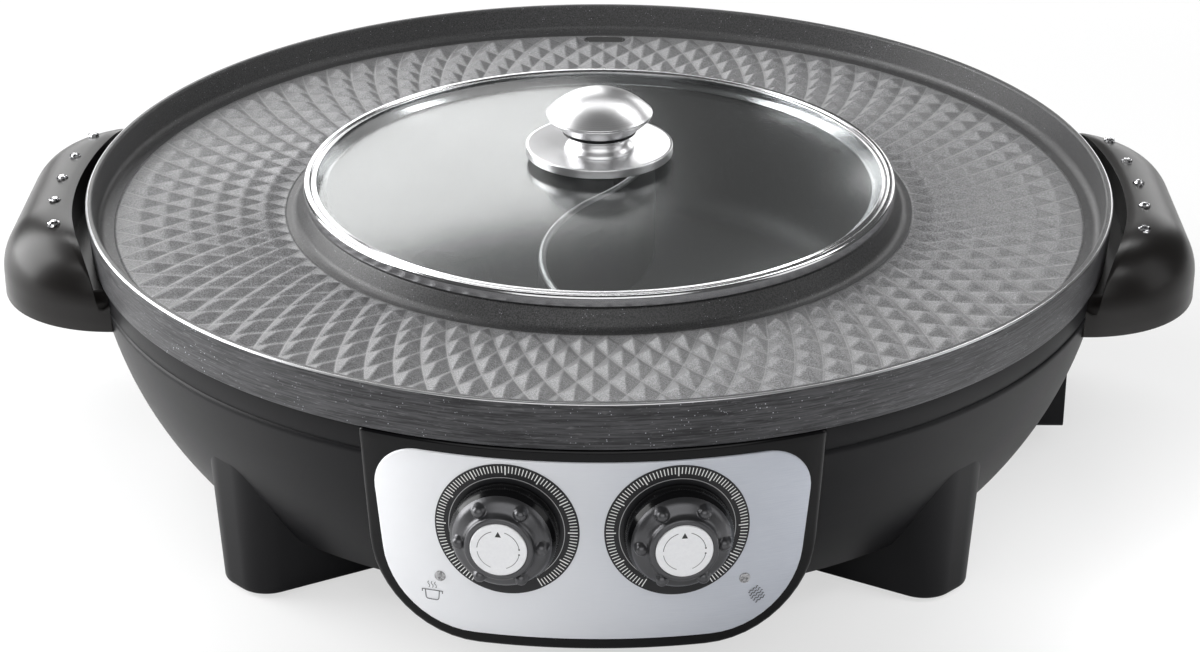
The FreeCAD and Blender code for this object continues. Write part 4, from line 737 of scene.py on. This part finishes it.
def base_legs():
    """Four drafted legs: a plan with a round nose, grown by its draft from the foot to the top."""
    heights = [LEG_FOOT, 1.15, 1.4, 2.0, 4, 10, 20, 30, 40, 50, 58, LEG_TOP]
    foot_round = np.interp(heights, heights[:4], [0.8, 0.4, 0.12, 0])
    layers = []
    for height, shrink in zip(heights, foot_round):
        grow = (height - LEG_FOOT) * math.tan(LEG_DRAFT) - shrink
        plan = rounded([(-28.7 - grow, -141 + grow), (-13.1 - grow, -196 - grow, 13 + grow),
                        (13.1 + grow, -196 - grow, 13 + grow), (28.7 + grow, -141 + grow)], 18)
        layers.append(level(plan, height))
    caps = [layers[0] * 0 + [0, -165, height] for height in (LEG_FOOT, LEG_TOP)]
    leg = np.array([caps[0], *layers, caps[1]])
    return swung_copies("base_legs", leg, np.radians([45, 135, 225, 315]), ["black_plastic"])


fitted(bowl_shell(), "base", "housing_bowl", slot="black_plastic", sharp=35)
fitted(base_legs(), "base", "housing_legs", slot="black_plastic", sharp=50)

ring_outline = rounded([
    (200.8, 87), (204.0, 87), (204.0, BOWL_TOP), (206.6, BOWL_TOP, 0.4), (206.6, 98.7, 0.4), (204.9, 98.7),
    (204.9, 101.7), (200.8, 101.7)], 4)
fitted(turned("upper_collar", ring_outline, ["black_plastic"]), "base", "upper_ring", slot="black_plastic",
       sharp=40)


# -------- control fascia, plate and dials

def front_plan(corners, inset):
    """A symmetric outline seen from the front, moved inwards by inset.

    corners has the half width, the height and the radius of the foot's corners, then of the top's.
    """
    (foot, low, foot_round), (top, high, top_round) = corners
    foot_round, top_round = foot_round - inset, max(top_round - inset, 0.3)
    return rounded([(-foot + inset, low + inset, foot_round), (foot - inset, low + inset, foot_round),
                    (top - inset, high - inset, top_round), (-top + inset, high - inset, top_round)], 12)


def bending(corners):
    """A function of the inset that gives an outline with its straight sides cut up, so that it can bend.

    Every side is cut into the same number of parts at every inset, each about 4 long.
    """
    plan = front_plan(corners, 0)
    length = np.linalg.norm(np.roll(plan, -1, 0) - plan, axis=1)
    parts = np.maximum(1, np.round(length / 4)).astype(int)

    def outline(inset):
        plan = front_plan(corners, inset)
        return np.vstack([a + (b - a) * np.linspace(0, 1, n, endpoint=False)[:, None]
                          for a, b, n in zip(plan, np.roll(plan, -1, 0), parts)])
    return outline


def bent(plan, radius):
    """Puts an outline seen from the front on a cylinder about the Z axis."""
    return np.column_stack([plan[:, 0], -np.sqrt(np.maximum(radius ** 2 - plan[:, 0] ** 2, 1)), plan[:, 1]])


def fascia_shell():
    """The curved front: rows grow from the middle, round the edge and run back to the bowl."""
    outline = bending(FASCIA_PLAN)
    inner, centre = outline(FASCIA_EDGE), np.array([0, 57.0])
    rows = [bent(centre + (inner - centre) * k, FASCIA_RADIUS) for k in (0, 0.2, 0.4, 0.6, 0.8, 0.93, 1)]
    for turn in np.radians([18, 36, 54, 72, 90]):
        rows.append(bent(outline(FASCIA_EDGE * (1 - math.sin(turn))), FASCIA_RADIUS))
        rows[-1][:, 1] += FASCIA_EDGE * (1 - math.cos(turn))
    front, (across, height) = rows[-1], outline(0).T
    bowl = reach(np.clip(height, BOWL_FOOT, BOWL_TOP)) - 1.0
    behind = np.where(height > BOWL_FOOT, -np.sqrt(np.maximum(bowl ** 2 - across ** 2, 1)), -150)
    behind = np.maximum(behind, front[:, 1] + 0.5)
    for k in (0.25, 0.5, 0.75, 1):
        rows.append(front.copy())
        rows[-1][:, 1] += (behind - front[:, 1]) * k
    return walled(grid_piece("fascia_front", rows, ["gloss_black"], "columns"), FASCIA_WALL)


def plate_sheet():
    """The silver plate: a thin sheet bent round the fascia, with a small bevel."""
    outline = bending(PLATE_PLAN)
    inner, centre = outline(PLATE_BEVEL), np.array([0, 56.0])
    seat = FASCIA_RADIUS + 0.05
    rows = [bent(centre + (inner - centre) * k, PLATE_RADIUS) for k in (0, 0.25, 0.5, 0.75, 1)]
    for inset, radius in ((0.25, PLATE_RADIUS - 0.12), (0, PLATE_RADIUS - 0.4), (0, seat)):
        rows.append(bent(outline(inset), radius))
    rows.append(bent(centre + (inner - centre) * 0, seat))
    return grid_piece("panel_film", rows, ["silver_plate"], "both")


fitted(fascia_shell(), "base", "control_fascia", slot="gloss_black", sharp=40)
fitted(plate_sheet(), "base", "panel_plate", slot="silver_plate", sharp=25)


def facing(name, x, depth, z, azimuth, finishes, wrap="", **settings):
    """A piece drawn as seen from the front, depth in front of the Z axis, and then swung to its azimuth."""
    points = swing(np.stack([x, -depth + 0 * x, z], -1), azimuth)
    return grid_piece(name, points, finishes, wrap, **settings)


def scale_ring(name, side):
    """A dial's ring on the plate: radii and angles about the dial's middle, bent round the plate."""
    angles = np.radians(np.linspace(-180, 180, 241))
    rows = np.array([(18.4, 0.4), (18.4, 0.05), (18.6, 0), (21, 0), (23.5, 0), (26.15, 0), (26.3, 0.1),
                     (26.3, 0.4)])
    radii, cylinder = rows[:, :1], SCALE_RADIUS - rows[:, 1:]
    x, z = radii * np.sin(angles), radii * np.cos(angles) + DIAL_HEIGHT
    uv = np.stack([np.degrees(angles) + 0 * x, radii + 0 * x], -1)
    return facing(name, x, np.sqrt(cylinder ** 2 - x ** 2), z, side * DIAL_AZIMUTH, ["dial_print"],
                  uv=corner_values(uv))


def knob_grip(name, side):
    """A dial knob: a dome with a raised round lip about the label and six half balls on its shoulder.

    The outline is turned about the dial's axis. A half ball stands on the dome where the distance d from
    its middle is under its radius r, and lifts it by sqrt(r^2 - d^2).
    """
    outline = on_axis(rounded([
        (0.001, 5.5), (17.2, 5.5, 0.5), (17.2, 0), (19.6, 0, 0.4), (19.5, 5.0, 3.5), (17.0, 9.6, 5),
        (13.0, 11.6, 3), (12.3, 14.0, 1.1), (10.35, 14.0, 0.5), (10.35, 13.4), (0.001, 13.4)], 8))
    fine = [outline[:1]]
    for a, b in zip(outline[:-1], outline[1:]):
        parts = max(1, int(np.linalg.norm(b - a) / 0.4)) if b[1] > 4 and a[0] > 11.5 else 1
        fine.append(a + (b - a) * np.linspace(0, 1, parts + 1)[1:, None])
    outline = np.vstack(fine)
    angles = whole_turn(240)
    radii, rise = outline[:, :1] + 0 * angles, outline[:, 1:] + 0 * angles
    x, z = radii * np.sin(angles), radii * np.cos(angles)
    for azimuth in np.radians(np.arange(30, 390, 60)):
        away = (x - BUMP_RING * math.sin(azimuth)) ** 2 + (z - BUMP_RING * math.cos(azimuth)) ** 2
        ball = np.sqrt(np.maximum(BUMP_RADIUS ** 2 - away, 0))
        shoulder = (ball > 0) & (rise > 5.6) & (radii > 12.4)
        rise = np.where(shoulder, np.maximum(rise, BUMP_SEAT + ball), rise)
    radius, height = middles(outline).T
    skirt = np.repeat((radius > 17) & (height < 7.5), len(angles))
    return facing(name, x, DIAL_SEAT + rise, z + DIAL_HEIGHT, side * DIAL_AZIMUTH,
                  ["gunmetal", "gloss_black"], "both", face_finish=skirt)


def label_disc(name, side):
    """The round label: a flat face, a small bevel and its edge."""
    rows = np.array([(0, 14.3), (5, 14.3), (9.95, 14.3), (10.3, 14.0), (10.3, 13.5), (0, 13.5)])
    angles = np.radians(np.linspace(-180, 180, 97))
    x, z = rows[:, :1] * np.sin(angles), rows[:, :1] * np.cos(angles)
    return facing(name, x, DIAL_SEAT + rows[:, 1:], z + DIAL_HEIGHT, side * DIAL_AZIMUTH, ["label_print"],
                  uv=corner_values(np.stack([x, z], -1)))


def lens_dome(name, side):
    """An indicator lens: a shallow dome with its flange behind the plate."""
    outline = np.array([(0, 204.4), (3.2, 204.4), (3.2, 205.4), (2.1, 205.4), (2.1, 208.9), (2.0, 209.15),
                        (1.4, 209.38), (0, 209.45)])
    angles = whole_turn(48)
    x, z = outline[:, :1] * np.sin(angles), outline[:, :1] * np.cos(angles) + LENS_HEIGHT
    return facing(name, x, outline[:, 1:], z, side * LENS_AZIMUTH, ["clear_lens"], "columns")


for name, side in (("left", -1), ("right", 1)):
    fitted(scale_ring(f"scale_ring_{name}", side), "base", f"dial_scale_{name}", slot="gloss_black")
    fitted(knob_grip(f"grip_{name}", side), f"{name}_dial", f"knob_{name}", slot="gunmetal", sharp=50)
    fitted(label_disc(f"label_disc_{name}", side), f"{name}_dial", f"knob_label_{name}",
           slot="silver_plate", sharp=30)
    fitted(lens_dome(f"lens_dome_{name}", side), "base", f"indicator_lens_{name}", slot="clear_lens",
           sharp=40)


def ribbon(points, width):
    """A flat printed line through points given as arc length along the plate and height, width wide.

    Each point is moved half the width to both sides along the mean normal of its two neighbours.
    """
    points = np.asarray(points, float)
    along = np.gradient(points, axis=0)
    along /= np.linalg.norm(along, axis=1)[:, None]
    normal = np.column_stack([-along[:, 1], along[:, 0]]) * width / 2
    flat = np.vstack([points + normal, points - normal])
    return around(PLATE_RADIUS + 0.03, flat[:, 0] / PLATE_RADIUS, flat[:, 1])


def printed(name, lines):
    """Ribbons joined as one piece of print."""
    ribbons = [ribbon(points, width) for points, width in lines]
    starts = np.cumsum([0] + [len(points) for points in ribbons])
    faces = [grid_faces(2, len(points) // 2) + start for points, start in zip(ribbons, starts)]
    return mesh_of(name, np.vstack(ribbons), np.vstack(faces), ["ink"], merge=False)


def pot_sign(x, z):
    """A small pot with two ears and three wisps of steam."""
    strokes = [rounded([(-2.7, 1.6), (-2.4, -2.3, 1.0), (2.4, -2.3, 1.0), (2.7, 1.6)]),
               [[-4.0, 1.6], [0, 1.6], [4.0, 1.6]], [[-3.9, 0.5], [-3.9, 1.6]], [[3.9, 0.5], [3.9, 1.6]]]
    lines = [(np.array(stroke) + [x, z], 0.28) for stroke in strokes]
    wave = np.linspace(0, 1, 13)
    for offset in (-1.3, 0, 1.3):
        wisp = [x + offset + 0.35 * np.sin(wave * 2 * math.pi), z + 2.6 + wave * 2.6]
        lines.append((np.column_stack(wisp), 0.2))
    return lines


def grill_sign(x, z):
    """Five short wavy strokes side by side, slanting up to the right, for the grill."""
    share = np.linspace(-0.5, 0.5, 15)
    c, s = math.cos(math.radians(32)), math.sin(math.radians(32))
    lines = []
    for index in range(-2, 3):
        along = share * (5.4 - 0.5 * abs(index))
        aside = index * 1.3 + 0.32 * np.sin(share * 6 * math.pi)
        lines.append((np.column_stack([x + along * c - aside * s, z + along * s + aside * c]), 0.34))
    return lines


fitted(printed("pot_sign", pot_sign(-58.9, 35.5)), "base", slot="gloss_black")
fitted(printed("grill_sign", grill_sign(60.5, 36)), "base", slot="gloss_black")


# -------- handles

def handle_radius(azimuth, shrink=0):
    """How far the handle's outline, moved in by shrink, lies from the pan's axis at an azimuth from +X.

    The outline is a straight front of x = 242.3 and a corner arc of radius 48 at each end of it.
    """
    turn = np.abs(azimuth)
    front = (HANDLE_REACH - shrink) / np.cos(turn)
    beside = ARC_X * np.sin(turn) - ARC_Y * np.cos(turn)
    corner = np.sqrt(np.maximum((HANDLE_CORNER - shrink) ** 2 - beside ** 2, 0))
    bend = ARC_X * np.cos(turn) + ARC_Y * np.sin(turn) + corner
    return np.where(front * np.sin(turn) <= ARC_Y, front, bend)


def handle_height(radius, azimuth, shrink=0):
    """The height of the handle's top, which falls as a quarter circle of radius 24 towards the outline."""
    across = radius * np.cos(azimuth) - ARC_X
    along = radius * np.abs(np.sin(azimuth)) - ARC_Y
    outside = np.hypot(np.maximum(across, 0), np.maximum(along, 0)) + np.minimum(np.maximum(across, along), 0)
    edge = HANDLE_ROUND - shrink
    inset = np.clip(HANDLE_CORNER - shrink - outside, 0, edge)
    return HANDLE_TOP - shrink - edge + np.sqrt(edge ** 2 - (edge - inset) ** 2)


def handle_block(name, side):
    """A handle as rings of its section, one to every azimuth, closed at both ends.

    The section runs from the slot beside the pan over the top to the outline, down to the foot, round the
    hollow underneath and up the inner side, which keeps to the bowl, the upper ring and the slot.
    """
    half_turn = math.asin(HANDLE_HALF / RING_SEAT)
    azimuth = half_turn * np.sin(np.linspace(-math.pi / 2, math.pi / 2, 121))
    outline = np.maximum(handle_radius(azimuth), RING_SEAT)
    slot_radius = SLOT_RADIUS - SLOT_NARROWING * np.abs(azimuth / half_turn) ** 5
    slot = np.minimum(slot_radius, outline)
    slot_top = handle_height(slot, azimuth)
    rows = [(slot, np.maximum(slot_top - 0.7, HANDLE_FOOT))]
    for share in np.sin(np.radians(np.linspace(6, 90, 24))):
        radius = slot + (outline - slot) * share
        rows.append((radius, handle_height(radius, azimuth)))
    for height, inset in ((86, 0), (81.1, 0), (80.65, 0.15), (HANDLE_FOOT, 0.6)):
        rows.append((outline - inset, height + 0 * azimuth))

    near = np.minimum(HOLLOW_START / np.cos(azimuth), outline - 1)
    far = np.maximum(handle_radius(azimuth, HANDLE_WALL), near)
    open_here = far > near + 0.05
    for share in np.linspace(0, 1, 9):
        radius = far + (near - far) * share
        ceiling = np.where(open_here, handle_height(radius, azimuth, HANDLE_WALL), HANDLE_FOOT)
        if share == 0:
            rows.append((radius, HANDLE_FOOT + 0 * azimuth))
        rows.append((radius, ceiling))
    rows.append((near, HANDLE_FOOT + 0 * azimuth))

    brim = BOWL_TOP - 0.1
    for height, radius in ((HANDLE_FOOT, reach(HANDLE_FOOT) + 0.2), (brim, reach(brim) + 0.2),
                           (BOWL_TOP, RING_SEAT), (SLOT_FOOT - 0.1, RING_SEAT), (SLOT_FOOT, slot_radius)):
        rows.append((np.minimum(radius, outline), np.minimum(height, slot_top - 0.7)))
    radii, heights = np.array(rows).transpose(1, 0, 2)
    points = np.stack([radii * np.cos(azimuth), radii * np.sin(azimuth), heights], -1)
    ends = [np.broadcast_to(points[:, column].mean(0), (len(points), 1, 3)) for column in (0, -1)]
    points = np.hstack([ends[0], points, ends[1]])
    points[..., 0] *= side
    return grid_piece(name, points, ["handle_black"], "rows")


def stones(name, side):
    """Five cut stones in a row, each an eight-sided crown with a flat table in a thin ring."""
    rows = np.array([(2.45, 113.0, 0), (2.45, 114.75, 0), (2.2, 114.95, 0), (2.05, 114.75, 0.5),
                     (1.25, 115.5, 0), (0, 115.52, 0)])
    radii, heights, shift = rows.T[..., None]
    crown = around(radii, whole_turn(8) + shift * math.pi / 8, heights)
    crown[..., 1] -= STONE_RING
    azimuths = np.radians(90 + np.arange(-2, 3) * 6.1)
    return swung_copies(name, crown, azimuths, ["stone_set"], side, smooth=False)


for name, side in (("left", -1), ("right", 1)):
    fitted(handle_block(f"handle_{name}_shell", side), "base", f"handle_{name}", slot="gloss_black", sharp=40)
    fitted(stones(f"stones_{name}", side), "base", f"handle_gems_{name}", slot="stone_set")


# -------- finishes of the other parts

for part in frame["record"]["subparts"]:
    name, finish = part["node"], part["material_slot"]
    if name.endswith("heating_element"):
        finish = "element_steel"
    materials = frame["nodes"][name].data.materials
    materials.clear()
    materials.append(FINISH[finish])


# -------- studio

def studio_floor():
    """A wide pale floor, which the camera sees mixed with plain white."""
    paint = Paint("studio_floor", (0.86, 0.86, 0.86), 0.9)
    cloud = paint.noise(0.8, 1)
    paint.feed(Base_Color=paint.mix(cloud, (0.855, 0.855, 0.855), (0.865, 0.865, 0.865)))
    glow = paint.node("Emission", {}, {"Color": (1, 1, 1, 1), "Strength": 1.0})
    lit = Field(paint, paint.shader.outputs[0])
    seen = paint.seen()
    paint.surface(paint.node("MixShader", {}, [seen * FLOOR_GLOW, lit, glow]))
    FINISH["floor"] = paint.material
    x, y = np.meshgrid(*[np.linspace(-FLOOR_HALF, FLOOR_HALF, 3)] * 2)
    floor = grid_piece("studio_floor", np.stack([x, y, 0 * x + FLOOR_HEIGHT], -1), ["floor"], merge=False)


def studio_world(strength):
    """Even white light, seen as plain white by the camera."""
    world = bpy.data.worlds.new("studio")
    tree = Tree(world)
    seen = tree.seen()
    background = tree.nodes["Background"]
    background.inputs["Color"].default_value = (1, 1, 1, 1)
    tree.links.new((seen * (1 - strength) + strength).socket, background.inputs["Strength"])
    scene.world = world


def aimed(name, data, place, aim):
    """Puts a lamp or a camera at a place, looking at a point."""
    holder = bpy.data.objects.new(name, data)
    holder.location = place
    holder.rotation_euler = (Vector(aim) - Vector(place)).to_track_quat("-Z", "Y").to_euler()
    scene.collection.objects.link(holder)
    return holder


def softbox(name, place, aim, width, height, power, spread=180):
    """A rectangular soft lamp; power is in watts and spread is how wide its beam opens, in degrees."""
    lamp = bpy.data.lights.new(name, "AREA")
    lamp.spread = math.radians(spread)
    lamp.shape, lamp.size, lamp.size_y, lamp.energy = "RECTANGLE", width, height, power
    aimed(name, lamp, place, aim)


LAMPS = [
    ("left_softbox", (-1.5, 0.35, 0.7), (0, 0, 0.08), 1.3, 1.3, 42),
    ("right_softbox", (1.6, -0.3, 0.7), (0, 0, 0.08), 0.8, 1.2, 4),
    ("top_softbox", (0.0, 0.62, 1.45), (0, 0, 0.1), 2.0, 0.2, 5),
    ("front_softbox", (0.0, -2.0, 1.2), (0, 0, 0.08), 2.6, 1.7, 22),
    ("back_left_softbox", (-0.68, 2.2, 0.9), (0, 0, 0.1), 1.45, 1.5, 19),
    ("right_handle_softbox", (0.56, 0.9, 0.3), (0.23, 0, 0.11), 0.5, 0.42, 1.5),
    ("left_handle_strip", (-0.27, 0.13, 0.42), (-0.24, -0.04, 0.11), 0.25, 0.05, 0.42),
    ("right_handle_strip", (0.27, 0.13, 0.42), (0.24, -0.04, 0.11), 0.25, 0.05, 0.42),
    ("left_floor_softbox", (-0.36, -0.24, 0.3), (-0.28, -0.18, 0), 0.12, 0.12, 0.12, 60),
    ("right_floor_softbox", (0.36, -0.24, 0.3), (0.28, -0.18, 0), 0.12, 0.12, 0.2, 60),
]

studio_floor()
studio_world(strength=0.1)
for lamp in LAMPS:
    softbox(*lamp)

view = bpy.data.cameras.new("camera")
view.lens, view.sensor_width = 87.0, 36.0
scene.camera = aimed("camera", view, (0.014, -1.108, 0.579), (0.0003, 0, 0.0475))
scene.view_settings.view_transform = "Standard"
